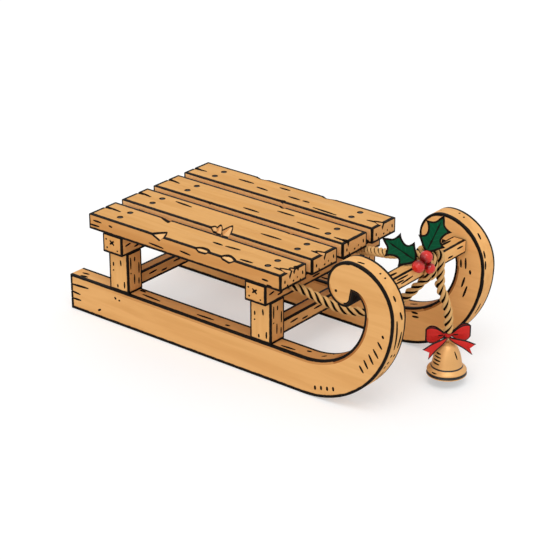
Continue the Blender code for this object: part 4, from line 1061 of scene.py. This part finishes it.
def make_nail_setter():
    """Tree: a faceted nail of given sizes at each point of the mesh, each turned at random."""
    tree = bpy.data.node_groups.new("set_nails", "GeometryNodeTree")
    tree.interface.new_socket("Places", in_out="INPUT", socket_type="NodeSocketGeometry")
    for label, default in (("Head", 0.0042), ("Shank", NAIL_SHANK), ("Length", NAIL_LONG)):
        socket = tree.interface.new_socket(label, in_out="INPUT", socket_type="NodeSocketFloat")
        socket.default_value = default
    tree.interface.new_socket("Seed", in_out="INPUT", socket_type="NodeSocketInt").default_value = 4
    tree.interface.new_socket("Iron", in_out="INPUT", socket_type="NodeSocketMaterial")
    tree.interface.new_socket("Nails", in_out="OUTPUT", socket_type="NodeSocketGeometry")
    given = add(tree, "NodeGroupInput").outputs
    face = reckon(tree, "MULTIPLY", given["Head"], 0.62)
    crown = add(tree, "GeometryNodeMeshCone", {"Vertices": 9, "Radius Top": face, "Depth": 0.0013,
                                               "Radius Bottom": given["Head"]}, fill_type="NGON")
    low_crown = add(tree, "GeometryNodeTransform", {"Geometry": crown.outputs["Mesh"],
                                                    "Translation": (0, 0, -0.0016)})
    shaft = add(tree, "GeometryNodeMeshCylinder", {"Vertices": 10, "Radius": given["Shank"],
                                                   "Depth": given["Length"]}, fill_type="NGON")
    half = reckon(tree, "MULTIPLY_ADD", given["Length"], -0.5, -0.0010)
    place = add(tree, "ShaderNodeCombineXYZ", {"Z": half})
    low_shaft = add(tree, "GeometryNodeTransform", {"Geometry": shaft.outputs["Mesh"],
                                                    "Translation": place.outputs[0]})
    nail = add(tree, "GeometryNodeJoinGeometry")
    tree.links.new(low_crown.outputs[0], nail.inputs[0])
    tree.links.new(low_shaft.outputs[0], nail.inputs[0])
    spin = add(tree, "FunctionNodeRandomValue", {"Seed": given["Seed"]}, data_type="FLOAT_VECTOR")
    spin.inputs["Min"].default_value = (-0.05, -0.05, 0)
    spin.inputs["Max"].default_value = (0.05, 0.05, 6.283)
    turn = add(tree, "FunctionNodeEulerToRotation", {"Euler": spin.outputs["Value"]})
    set_down = add(tree, "GeometryNodeInstanceOnPoints", {
        "Points": given["Places"], "Instance": nail.outputs[0], "Rotation": turn.outputs[0]})
    real = add(tree, "GeometryNodeRealizeInstances", {"Geometry": set_down.outputs[0]})
    dressed = add(tree, "GeometryNodeSetMaterial", {"Geometry": real.outputs[0], "Material": given["Iron"]})
    add(tree, "NodeGroupOutput", {0: dressed.outputs[0]})
    return tree


def make_forged_iron():
    """Near-black hammered iron with a trace of rust."""
    material, tree, shader = new_material("forged_iron")
    hammer = noise(tree, 900.0, 3.0)
    feed(tree, shader, {"Base Color": mixed(tree, hammer, (0.008, 0.006, 0.005, 1), (0.030, 0.018, 0.012, 1)),
                        "Normal": raised(tree, hammer, 0.4, 0.0003), "Metallic": 0.4, "Roughness": 0.55})
    return material


nail_setter = make_nail_setter()
spots = bpy.data.meshes.new("nail_places")
spots.from_pydata([(x, low + SLAT_WIDE / 2 + sign * NAIL_ACROSS, SEAT_TOP)
                   for low, lines in zip(SLAT_LOWS, NAIL_LINES) for x in lines for sign in (-1, 1)], [], [])
nails = bpy.data.objects.new("seat_nails", spots)
scene.collection.objects.link(nails)
setting = nails.modifiers.new("set_nails", "NODES")
setting.node_group = nail_setter
for label, value in (("Head", NAIL_HEAD), ("Shank", NAIL_SHANK), ("Length", NAIL_LONG), ("Seed", 4),
                     ("Iron", make_forged_iron())):
    setting[nail_setter.interface.items_tree[label].identifier] = value
finish_mesh(nails)
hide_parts(*[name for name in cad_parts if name.startswith("nail_")])
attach(nails, "sled")

# Rope anchors: each pull rope runs through its bearer hole and is stopped behind by an overhand knot,
# tied in the rope's own end and pulled tight against the bearer.
THROUGH_STOPS = (0.1270, 0.120, 0.110, 0.100, 0.090, 0.080, 0.0735, 0.069)
BEARER_BACK = 0.075
KNOT_STEPS = 54
KNOT_SIZE = 0.0031
KNOT_ROPE = 0.0112
KNOT_LAY = 0.034
KNOT_STRANDS = 0.60
for side, sign in (("right", -1), ("left", 1)):
    middle = Vector((0, sign * ROPE_HOLE_SIDE, ROPE_HOLE_HIGH))
    through = rope_piece("rope_through_bearer_" + side, rope_rings(
        [middle + Vector((x, 0, 0)) for x in THROUGH_STOPS], ROPE_THICK, ROPE_LAY,
        [FREE_STRANDS] * len(THROUGH_STOPS)))
    knot = []
    for i in range(KNOT_STEPS):
        turn = math.tau * i / KNOT_STEPS
        knot.append(middle + Vector((BEARER_BACK - 0.0135 - 0.0045 * math.cos(3 * turn),
                                     (math.sin(turn) + 1.2 * math.sin(2 * turn)) * KNOT_SIZE,
                                     (math.cos(turn) - 1.2 * math.cos(2 * turn)) * KNOT_SIZE)))
    knot.append(knot[0])
    knot_rings = rope_rings(knot, KNOT_ROPE, KNOT_LAY, [KNOT_STRANDS] * len(knot), steps=8)
    ball = rope_piece("knot", knot_rings, steps=8)
    ends = bmesh.new()
    ends.from_mesh(through.data)
    ends.from_mesh(ball.data)
    ends.to_mesh(through.data)
    ends.free()
    bpy.data.objects.remove(ball, do_unlink=True)
    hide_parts("rope_anchor_" + side)
    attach(through, "sled")

# Holly: two stiff spiny leaves, each folded along its rib and with its short stalk bent down to a small
# core. The leaves and three berries are wired to the core, which sits on the crossbar's edge.
CORE = Vector((0.37823, -0.0305, 0.27020))
CORE_ROUND = 0.0063
LEAF_FACING = Vector((0.568, -0.711, 0.414))
LEAF_LONG = 0.078
LEAF_HALF = 0.0272
STALK_HALF = 0.0016
LEAF_THICK = 0.0013


def make_leaf_skin():
    """Dark green with paler veins, and the rib and the edge in the darkest brown."""
    material, tree, shader = new_material("holly_leaf_skin")
    # u is the share of the half width, v the distance along the blade as a share of its length
    parts = read_uv(tree, "blade")[1]
    side = reckon(tree, "ABSOLUTE", parts["X"])
    row = reckon(tree, "MULTIPLY", reckon(tree, "MULTIPLY_ADD", side, -0.16, parts["Y"]), 8.0)
    off = reckon(tree, "SUBTRACT", reckon(tree, "FRACT", row), 0.5)
    vein = ramp(tree, reckon(tree, "ABSOLUTE", off), 0.03, 0.10, 1.0, 0.0)
    mottle = noise(tree, 130.0, 3.0)
    leafy = mixed(tree, mottle, (0.0008, 0.052, 0.019, 1), (0.0015, 0.078, 0.031, 1))
    veined = mixed(tree, vein, leafy, (0.002, 0.090, 0.036, 1))
    ribbed = mixed(tree, ramp(tree, side, 0.06, 0.09, 1.0, 0.0), veined, INK)
    # u is the distance from the blade's edge in centimetres
    gap = read_uv(tree, "margin")[1]
    edged = mixed(tree, ramp(tree, gap["X"], 0.34, 0.38, 1.0, 0.0), ribbed, INK)
    relief = raised(tree, reckon(tree, "ADD", vein, mottle), 0.25, 0.0005)
    feed(tree, shader, {"Base Color": edged, "Normal": relief, "Roughness": 0.5, "Specular IOR Level": 0.05})
    return material


leaf_skin = make_leaf_skin()
# the blade's edge: distance along and half width as shares, with spines at the peaks
BLADE = [(0.0, 0.02), (0.05, 0.26), (0.10, 0.46), (0.16, 0.60), (0.22, 0.78), (0.265, 0.93), (0.30, 1.05),
         (0.33, 0.80), (0.37, 0.62), (0.42, 0.56), (0.48, 0.57), (0.54, 0.63), (0.60, 0.72), (0.655, 0.86),
         (0.70, 1.02), (0.72, 0.72), (0.75, 0.48), (0.79, 0.34), (0.84, 0.26), (0.90, 0.18), (0.95, 0.10),
         (1.0, 0.0)]
# the places of a row's points, from one edge of the blade to the other
ACROSS = (-1, -0.86, -0.6, -0.3, -0.07, 0, 0.07, 0.3, 0.6, 0.86, 1)


def edge_gap(spot, edge):
    """How far a flat spot is from an edge through points."""
    gaps = []
    for a, b in zip(edge, edge[1:]):
        share = (spot - a).dot(b - a) / max(1e-12, (b - a).length_squared)
        gaps.append((spot - a - (b - a) * max(0.0, min(1.0, share))).length)
    return min(gaps)


def add_wall(piece, thickness):
    """Give a single sheet its thickness, half to each side."""
    wall = piece.modifiers.new("thickness", "SOLIDIFY")
    wall.thickness = thickness
    wall.offset = 0
    finish_mesh(piece)


def holly_leaf(name, foot, direction):
    """A folded blade on a stalk, its halves raised and its spines tipped up."""
    foot = CORE + Vector(foot)
    along = Vector(direction).normalized()
    up = (LEAF_FACING - LEAF_FACING.project(along)).normalized()
    across = up.cross(along)
    work = bmesh.new()
    blade = work.loops.layers.uv.new("blade")
    margin = work.loops.layers.uv.new("margin")
    rows = []
    marks = []
    stalk = (foot - CORE).normalized()
    for start in (CORE_ROUND, 0.013):
        middle = CORE + stalk * start
        rows.append([work.verts.new(middle + across * STALK_HALF * s + up * (0.0008 if s == 0 else 0))
                     for s in ACROSS])
        marks.append([(0.0, -0.1, 0.0)] * len(ACROSS))
    edge = [Vector((distance * LEAF_LONG, half * LEAF_HALF)) for distance, half in BLADE]
    for distance, half in BLADE:
        row = []
        mark = []
        reach = max(half * LEAF_HALF, STALK_HALF if distance < 0.5 else 0.0002)
        for s in ACROSS:
            lift = 0.20 * reach * abs(s) + 0.0009 * math.sin(distance * 16) * abs(s) ** 2
            if abs(s) < 0.05:
                lift = -0.0006
            spot = (foot + along * distance * LEAF_LONG + across * reach * s
                    + up * (lift - 0.004 * distance ** 2))
            row.append(work.verts.new(spot))
            mark.append((s, distance, edge_gap(Vector((distance * LEAF_LONG, reach * abs(s))), edge) * 100))
        rows.append(row)
        marks.append(mark)
    for r in range(len(rows) - 1):
        for i in range(len(ACROSS) - 1):
            face = work.faces.new((rows[r][i], rows[r + 1][i], rows[r + 1][i + 1], rows[r][i + 1]))
            face.smooth = True
            spots = (marks[r][i], marks[r + 1][i], marks[r + 1][i + 1], marks[r][i + 1])
            for loop, (s, distance, gap) in zip(face.loops, spots):
                loop[blade].uv = (s, distance)
                loop[margin].uv = (gap, 0)
    piece = new_piece(name, work, leaf_skin)
    add_wall(piece, LEAF_THICK)
    return piece


for name, foot, direction, node in (
        ("leaf_behind", (-0.0100, -0.0033, 0.0058), (-0.831, -0.270, 0.488), "holly_leaf_rear"),
        ("leaf_standing", (-0.0060, 0.0227, 0.0164), (0.113, 0.563, 0.811), "holly_leaf_upright")):
    leaf = holly_leaf(name, foot, direction)
    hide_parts(node)
    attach(leaf, "sled")

# Berries: glossy red lacquered fruit, each with a small dark calyx star at its tip. They are wired to the
# core, and their backs, where they meet each other, are painted darker as painted shade.
BERRY_STEPS = 26
BERRY_AROUND = 32


def make_berry_skin():
    """Mottled red under lacquer; u is the angle from the tip and v the turn about it."""
    material, tree, shader = new_material("berry_skin")
    parts = read_uv(tree, "tip")[1]
    wave = reckon(tree, "COSINE", reckon(tree, "MULTIPLY", parts["Y"], 5.0))
    calyx = ramp(tree, reckon(tree, "MULTIPLY_ADD", wave, -0.05, parts["X"]), 0.13, 0.17, 1.0, 0.0)
    red = mixed(tree, noise(tree, 190.0, 2.0), (0.56, 0.014, 0.010, 1), (0.70, 0.022, 0.015, 1))
    # painted shade: each berry darkens towards its back, where it meets the others
    deep = mixed(tree, ramp(tree, parts["X"], 1.65, 2.3), red, (0.20, 0.006, 0.006, 1))
    feed(tree, shader, {"Base Color": mixed(tree, calyx, deep, INK), "Roughness": 0.22,
                        "Specular IOR Level": 0.3, "Coat Weight": 0.25, "Coat Roughness": 0.08})
    return material


berry_skin = make_berry_skin()


def berry(name, centre, radius, tip):
    """A fruit with a dimple at its tip, which points out along the given way."""
    turn = Vector(tip).normalized().to_track_quat("Z", "Y").to_matrix()
    work = bmesh.new()
    layer = work.loops.layers.uv.new("tip")
    rows = []
    pole = work.verts.new(centre + turn @ Vector((0, 0, radius * 0.93)))
    foot = work.verts.new(centre + turn @ Vector((0, 0, -radius)))
    angles = [math.pi * i / BERRY_STEPS for i in range(1, BERRY_STEPS)]
    for angle in angles:
        reach = radius * (1 - 0.07 * math.exp(-(angle / 0.22) ** 2))
        rows.append([work.verts.new(centre + turn @ Vector((
            reach * math.sin(angle) * math.cos(math.tau * j / BERRY_AROUND),
            reach * math.sin(angle) * math.sin(math.tau * j / BERRY_AROUND),
            reach * math.cos(angle)))) for j in range(BERRY_AROUND)])

    def paint(corners, spots):
        face = work.faces.new(corners)
        face.smooth = True
        for loop, spot in zip(face.loops, spots):
            loop[layer].uv = spot

    for j in range(BERRY_AROUND):
        k = (j + 1) % BERRY_AROUND
        a = math.tau * j / BERRY_AROUND
        b = math.tau * (j + 1) / BERRY_AROUND
        first = math.pi / BERRY_STEPS
        paint((pole, rows[0][j], rows[0][k]), ((0, a), (first, a), (first, b)))
        paint((foot, rows[-1][k], rows[-1][j]), ((math.pi, a), (math.pi - first, b), (math.pi - first, a)))
        for i in range(len(rows) - 1):
            paint((rows[i][j], rows[i + 1][j], rows[i + 1][k], rows[i][k]),
                  ((angles[i], a), (angles[i + 1], a), (angles[i + 1], b), (angles[i], b)))
    bmesh.ops.recalc_face_normals(work, faces=work.faces)
    return new_piece(name, work, berry_skin)


for name, radius, way, tip, node in (
        ("berry_upper", 0.0125, (0.38, 0.21, 0.90), (0.30, 0.75, 0.35), "holly_berry_top"),
        ("berry_side", 0.0125, (0.25, -0.94, 0.23), (0.05, -0.55, -0.85), "holly_berry_right"),
        ("berry_lower", 0.0105, (0.90, 0.34, -0.28), (0.55, 0.45, -0.85), "holly_berry_front")):
    fruit = berry(name, CORE + Vector(way).normalized() * (CORE_ROUND + radius), radius, tip)
    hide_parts(node)
    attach(fruit, "sled")
dress("holly_core", leaf_skin)

# Bow: red satin ribbon tied under the rope's end. Two plump loops, two notched ends and a pinched knot,
# each edge bound in dark thread.
BOW_TURN = Matrix.Rotation(math.radians(-51), 4, "Z")
BOW_HIGH = 0.1017
BOW = Matrix.Translation((*BOW_SPOT, BOW_HIGH)) @ BOW_TURN
KNOT_HALF = 0.006
RIBBON_THICK = 0.0009
# steps along and across a loop, and an end
LOOP_STEPS = 48
LOOP_ACROSS = 12
END_STEPS = 24
END_ACROSS = 8
LOOP_LONG = 0.0372
# how far out, as a share of the loop, it is widest
LOOP_CREST = 0.74
# a sharp fold, its crease painted dark as painted shade, runs out of the knot on each loop's front and back,
# in these rows
LOOP_FOLDS = (5, 6, 7, 8, 9, 39, 40, 41, 42, 43)
# the share of an end's length where the notch begins
NOTCH_FROM = 0.72


def make_ribbon_satin():
    """Red satin with a dark bound selvedge; u is the distance from it and v the way along, in centimetres."""
    material, tree, shader = new_material("ribbon_satin")
    parts = read_uv(tree, "ribbon")[1]
    binding = ramp(tree, parts["X"], 0.25, 0.28, 1.0, 0.0)
    thread = reckon(tree, "SINE", reckon(tree, "MULTIPLY", parts["Y"], 95.0))
    satin = mixed(tree, noise(tree, 110.0, 2.0), (0.52, 0.015, 0.012, 1), (0.70, 0.024, 0.018, 1))
    feed(tree, shader, {"Base Color": mixed(tree, binding, satin, INK),
                        "Normal": raised(tree, thread, 0.12, 0.0001), "Roughness": 0.45,
                        "Specular IOR Level": 0.18, "Sheen Weight": 0.06, "Anisotropic": 0.4})
    return material


ribbon_satin = make_ribbon_satin()


def ribbon(name, rows, half_widths, creased=(), turned=None):
    """A strip through rows of points across the ribbon, with each row's half width and the rows with a fold,
    dark along its crease.

    Turned gives each row's distance in centimetres from a loop's round end, where the ribbon is dark too.
    """
    work = bmesh.new()
    layer = work.loops.layers.uv.new("ribbon")
    grid = [[work.verts.new(BOW @ Vector(spot)) for spot in row] for row in rows]
    run = [0.0]
    for before, after in zip(rows, rows[1:]):
        middle = len(before) // 2
        run.append(run[-1] + (Vector(after[middle]) - Vector(before[middle])).length)
    last = len(rows[0]) - 1
    for r in range(len(grid) - 1):
        for i in range(last):
            face = work.faces.new((grid[r][i], grid[r + 1][i], grid[r + 1][i + 1], grid[r][i + 1]))
            face.smooth = True
            for loop, (row, spot) in zip(face.loops, ((r, i), (r + 1, i), (r + 1, i + 1), (r, i + 1))):
                share = 1 - abs(2 * spot / last - 1)
                # painted shade: a dark line runs along the middle of each fold's crease
                gap = -1.1 if row in creased and spot == last // 2 else share * half_widths[row] * 100
                if turned:
                    gap = min(gap, turned[row])
                loop[layer].uv = (gap, run[row] * 100)
    piece = new_piece(name, work, ribbon_satin)
    add_wall(piece, RIBBON_THICK)
    return piece, run[-1]


for side, sign, lift, node in (("right", -1, 0.0, "bow_loop_right"), ("left", 1, 0.008, "bow_loop_left")):
    rows = []
    halves = []
    turned = []
    for i in range(LOOP_STEPS + 1):
        turn = math.tau * i / LOOP_STEPS
        # out along the upper face, round the end and back along the lower one
        out = 0.5 - 0.5 * math.cos(turn)
        reach = KNOT_HALF + 0.0006 + out * LOOP_LONG
        opened = math.sin(math.pi / 2 * min(1.0, out / LOOP_CREST)) ** 1.25
        rounded = 0.42 * max(0.0, (out - LOOP_CREST) / 0.26) ** 2
        swell = (0.04 + 0.96 * opened) * (1 - rounded)
        depth = 0.0062 * math.sin(turn) * (0.35 + 0.65 * swell)
        half = 0.0038 + 0.0140 * swell
        row = []
        for j in range(LOOP_ACROSS + 1):
            s = 2 * j / LOOP_ACROSS - 1
            fold = 0.0011 * math.cos(3.2 * math.pi * s) * (1 - out) ** 0.8
            row.append((depth * (1 - 0.35 * s * s) + fold, sign * reach, lift * out + half * s
                        + 0.0010 * math.sin(5 * out) * s))
        rows.append(row)
        halves.append(half)
        turned.append((1 - out) * LOOP_LONG * 100)
    loop_piece, length = ribbon("bow_ribbon_loop_" + side, rows, halves, LOOP_FOLDS, turned)
    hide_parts(node)
    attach(loop_piece, "sled")

for side, sign, (forward, sideways, down), node in (("right", -1, (0.024, 0.043, 0.024), "bow_tail_right"),
                                                    ("left", 1, (0.024, 0.046, 0.013), "bow_tail_left")):
    across = Vector((0, sign * down, sideways)).normalized()
    foot = Vector((KNOT_HALF * 0.80, sign * KNOT_HALF * 0.45, -KNOT_HALF * 0.75))
    rows = []
    halves = []
    for i in range(END_STEPS + 1):
        t = i / END_STEPS
        half = 0.0026 + 0.0096 * t ** 0.8
        middle = foot + Vector((forward * t ** 0.55 + 0.0018 * math.sin(2.6 * math.pi * t) * t,
                                sign * sideways * t, -down * t + 0.0015 * math.sin(math.pi * t)))
        notch = Vector((0, sign * sideways, -down)) * 0.19 * max(0.0, (t - NOTCH_FROM) / 0.28)
        row = []
        for j in range(END_ACROSS + 1):
            s = 2 * j / END_ACROSS - 1
            curl = Vector((0.0010 * math.cos(math.pi * s) * (1 - 0.6 * t), 0, 0))
            row.append(middle + across * half * s - notch * (1 - abs(s)) + curl)
        rows.append(row)
        halves.append(half)
    end_piece, length = ribbon("bow_ribbon_end_" + side, rows, halves)
    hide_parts(node)
    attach(end_piece, "sled")

# the knot: a pinched roll of ribbon, closed at its top and foot
PINCH_ROWS = 20
PINCH_AROUND = 28
PINCH_HALF = (0.0066, 0.0068, 0.0064)
work = bmesh.new()
layer = work.loops.layers.uv.new("ribbon")
rows = []
for i in range(PINCH_ROWS + 1):
    up = -1 + 2 * i / PINCH_ROWS
    row = []
    for j in range(PINCH_AROUND):
        turn = math.tau * j / PINCH_AROUND
        pinch = 1 + 0.07 * math.cos(6 * turn) * (1 - up * up)
        swell = (1 - 0.55 * abs(up) ** 3.2) * pinch
        spot = Vector((PINCH_HALF[0] * swell * math.cos(turn), PINCH_HALF[1] * swell * math.sin(turn),
                       PINCH_HALF[2] * up))
        row.append(work.verts.new(BOW @ spot))
    rows.append(row)
for i in range(PINCH_ROWS):
    for j in range(PINCH_AROUND):
        k = (j + 1) % PINCH_AROUND
        face = work.faces.new((rows[i][j], rows[i][k], rows[i + 1][k], rows[i + 1][j]))
        face.smooth = True
        for loop, (row, spot) in zip(face.loops, ((i, j), (i, j + 1), (i + 1, j + 1), (i + 1, j))):
            loop[layer].uv = (0.02 + 0.6 * (1 - abs(2 * row / PINCH_ROWS - 1)), spot / 8)
for row, flip in ((rows[0], True), (rows[-1], False)):
    centre = work.verts.new(sum((vert.co for vert in row), Vector()) / len(row))
    for j in range(PINCH_AROUND):
        k = (j + 1) % PINCH_AROUND
        face = work.faces.new((centre, row[k], row[j]) if flip else (centre, row[j], row[k]))
        for loop in face.loops:
            loop[layer].uv = (0.0, 0.0)
bmesh.ops.recalc_face_normals(work, faces=work.faces)
bow_knot = new_piece("bow_knot_ribbon", work, ribbon_satin)
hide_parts("bow_knot")
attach(bow_knot, "sled")

# Bell: spun brass with rolled rings and engraved strokes, an eye bolt through its crown, and a ball
# clapper. It swings on a wire staple under the bow.
PIVOT_HIGH = 0.0911
PIVOT = Matrix.Translation((*BOW_SPOT, PIVOT_HIGH)) @ BOW_TURN
CROWN = -0.0055
BELL_TALL = 0.066
MOUTH = 0.040
LIP = CROWN - BELL_TALL


def make_bell_brass():
    """Brass clouded by handling; u is the height and v the darkness of a turned ring, and of painted shade in
    a hollow.
    """
    material, tree, shader = new_material("bell_brass")
    uv, parts = read_uv(tree, "height")
    cloud = noise(tree, 60.0, 3.0)
    brass = mixed(tree, cloud, (0.70, 0.36, 0.115, 1), (0.82, 0.45, 0.165, 1))
    feed(tree, shader, {"Base Color": mixed(tree, parts["Y"], brass, INK),
                        "Roughness": ramp(tree, cloud, 0.0, 1.0, 0.36, 0.5),
                        "Metallic": ramp(tree, parts["Y"], 0.0, 1.0, 0.35, 0.0),
                        "Normal": raised(tree, noise(tree, 260.0, 2.0, Vector=uv), 0.06, 0.0002)})
    return material


bell_brass = make_bell_brass()


def turned_shell(name, outline, sides):
    """A closed outline of (radius, height, darkness) spun about the pivot; darkness goes into the UV map."""
    work = bmesh.new()
    layer = work.loops.layers.uv.new("height")
    rings = []
    for radius, height, dark in outline:
        if radius < 1e-6:
            rings.append([work.verts.new(PIVOT @ Vector((0, 0, height)))] * sides)
        else:
            rings.append([work.verts.new(PIVOT @ Vector((radius * math.cos(math.tau * j / sides),
                                                         radius * math.sin(math.tau * j / sides), height)))
                          for j in range(sides)])
    for i in range(len(outline)):
        n = (i + 1) % len(outline)
        if outline[i][0] < 1e-6 and outline[n][0] < 1e-6:
            continue
        for j in range(sides):
            k = (j + 1) % sides
            corners = []
            for vert in (rings[i][j], rings[i][k], rings[n][k], rings[n][j]):
                if vert not in corners:
                    corners.append(vert)
            face = work.faces.new(corners)
            face.smooth = True
            for loop in face.loops:
                loop[layer].uv = (loop.vert.co.z * 10, outline[i][2])
    bmesh.ops.recalc_face_normals(work, faces=work.faces)
    return new_piece(name, work, bell_brass)


# the bell's wall: its radius as a share of the mouth's, and how far down it is as a share of its height
BELL_SHARES = [(0.075, 0.0), (0.14, 0.002), (0.32, 0.035), (0.41, 0.085), (0.48, 0.145), (0.54, 0.21),
               (0.59, 0.28), (0.64, 0.365), (0.68, 0.46), (0.71, 0.55), (0.735, 0.64), (0.76, 0.70)]
# the flare: a dark ring line, a bright rolled band, then painted shade in the hollow under it and under a
# thin lip
FLARE = ((0.0307, 0.0190, 1), (0.0318, 0.0160, 0), (0.0335, 0.0145, 0), (0.0362, 0.0125, 0),
         (0.0383, 0.0105, 0), (0.0392, 0.0088, 0), (0.0391, 0.0076, 1), (0.0380, 0.0066, 1),
         (0.0378, 0.0046, 1), (0.0386, 0.0028, 1), (0.0396, 0.0016, 0), (0.0400, 0.0008, 0),
         (0.0398, 0.0, 1), (0.0372, 0.0, 1), (0.0352, 0.0040, 1), (0.0330, 0.0100, 1))
# the wall's thickness as a share of the mouth's radius
WALL_SHARE = 0.07
outline = [(radius * MOUTH, CROWN - drop * BELL_TALL, 0) for radius, drop in BELL_SHARES]
outline += [(radius, LIP + height, dark) for radius, height, dark in FLARE]
# painted shade: the inside of the wall and of the crown is dark
outline += [((radius - WALL_SHARE) * MOUTH, CROWN - drop * BELL_TALL, 1)
            for radius, drop in BELL_SHARES[-1:3:-1]]
outline += [(0.0090, CROWN - 0.0058, 1), (0.0050, CROWN - 0.0030, 1), (0.0030, CROWN - 0.0028, 0)]
shell = turned_shell("bell_body", outline, sides=72)

# strokes engraved on one side and the other: the middle in degrees about the bell, the height under its
# pivot and half the length in degrees
SHOULDER_STROKES = ((-54, -0.0230, 16), (-52, -0.0300, 19), (-53, -0.0370, 20), (-56, -0.0440, 19))
ENGRAVED = (0.0036, 0.0012)
BAND_ENGRAVED = (0.0030, 0.0011)
BAND_REACH = 0.0372


def bell_radius(height):
    """The outside radius at a height under the pivot."""
    for (r1, d1), (r2, d2) in zip(BELL_SHARES, BELL_SHARES[1:]):
        h1 = CROWN - d1 * BELL_TALL
        h2 = CROWN - d2 * BELL_TALL
        if h2 <= height <= h1:
            return MOUTH * (r1 + (r2 - r1) * (h1 - height) / (h1 - h2))
    return MOUTH * BELL_SHARES[-1][0]


def engrave(work, places, rise, groove):
    """A stroke in the wall through places of an angle in degrees, a height and a radius."""
    spine = []
    for degrees, height, radius in places:
        angle = math.radians(degrees)
        out = Vector((math.cos(angle), math.sin(angle), rise)).normalized()
        spine.append((PIVOT @ Vector((radius * math.cos(angle), radius * math.sin(angle), height)),
                      PIVOT.to_3x3() @ out))
    carve(work, spine, *groove)


work = bmesh.new()
for half_way in (0, 180):
    for turn, height, half_turn in SHOULDER_STROKES:
        engrave(work, [(half_way + turn + half_turn * (i / 3 - 1), height, bell_radius(height))
                       for i in range(7)], rise=0.25, groove=ENGRAVED)
for turn in (36, -144):
    heights = [-0.0180 - 0.0028 * i for i in range(7)]
    engrave(work, [(turn + i, height, bell_radius(height)) for i, height in enumerate(heights)],
            rise=0.25, groove=ENGRAVED)
for turn in (-46, 134):
    engrave(work, [(turn + 3.2 * (i - 3), LIP + 0.0117, BAND_REACH) for i in range(7)],
            rise=0.6, groove=BAND_ENGRAVED)
cut(shell, work)
sharpen(shell, angle=40)
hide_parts("bell_shell")
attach(shell, "bell")

# the clapper: a rod with a ball, its foot painted dark as painted shade under it, hung by a wire ring from
# the eye bolt
BALL = 0.0078
BALL_HEIGHT = LIP - 0.006
BALL_SHADE_FROM = 158
EYE_HIGH = 0.0733
RING_HEIGHT = EYE_HIGH - PIVOT_HIGH - 0.0004
RING_ROUND = 0.0032
RING_WIRE = 0.0011
RING_STEPS = 28
WIRE_STEPS = 12
clapper_outline = [(0, -0.0226, 0), (0.0013, -0.0226, 0), (0.0013, -0.0664, 0), (0.0024, -0.0682, 0)]
clapper_outline += [(BALL * math.sin(math.radians(a)), BALL_HEIGHT + BALL * math.cos(math.radians(a)),
                     1 if a > BALL_SHADE_FROM else 0) for a in range(24, 180, 12)]
clapper_outline.append((0, BALL_HEIGHT - BALL, 1))
ball_clapper = turned_shell("bell_ball_clapper", clapper_outline, sides=36)
rings = bmesh.new()
rings.from_mesh(ball_clapper.data)
lie = Vector((1, 0, 0)).to_track_quat("Z", "Y").to_matrix()
rows = []
for i in range(RING_STEPS):
    around = math.tau * i / RING_STEPS
    row = []
    for j in range(WIRE_STEPS):
        a = math.tau * j / WIRE_STEPS
        reach = RING_ROUND + RING_WIRE * math.cos(a)
        spot = lie @ Vector((reach * math.cos(around), reach * math.sin(around), RING_WIRE * math.sin(a)))
        row.append(rings.verts.new(PIVOT @ (spot + Vector((0, 0, RING_HEIGHT)))))
    rows.append(row)
for i in range(RING_STEPS):
    for j in range(WIRE_STEPS):
        k = (j + 1) % WIRE_STEPS
        rings.faces.new((rows[i - 1][j], rows[i][j], rows[i][k], rows[i - 1][k])).smooth = True
rings.to_mesh(ball_clapper.data)
rings.free()
sharpen(ball_clapper, angle=40)
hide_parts("bell_clapper")
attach(ball_clapper, "clapper")

for name in ("bell_eye_bolt", "bell_staple"):
    dress(name, bell_brass)
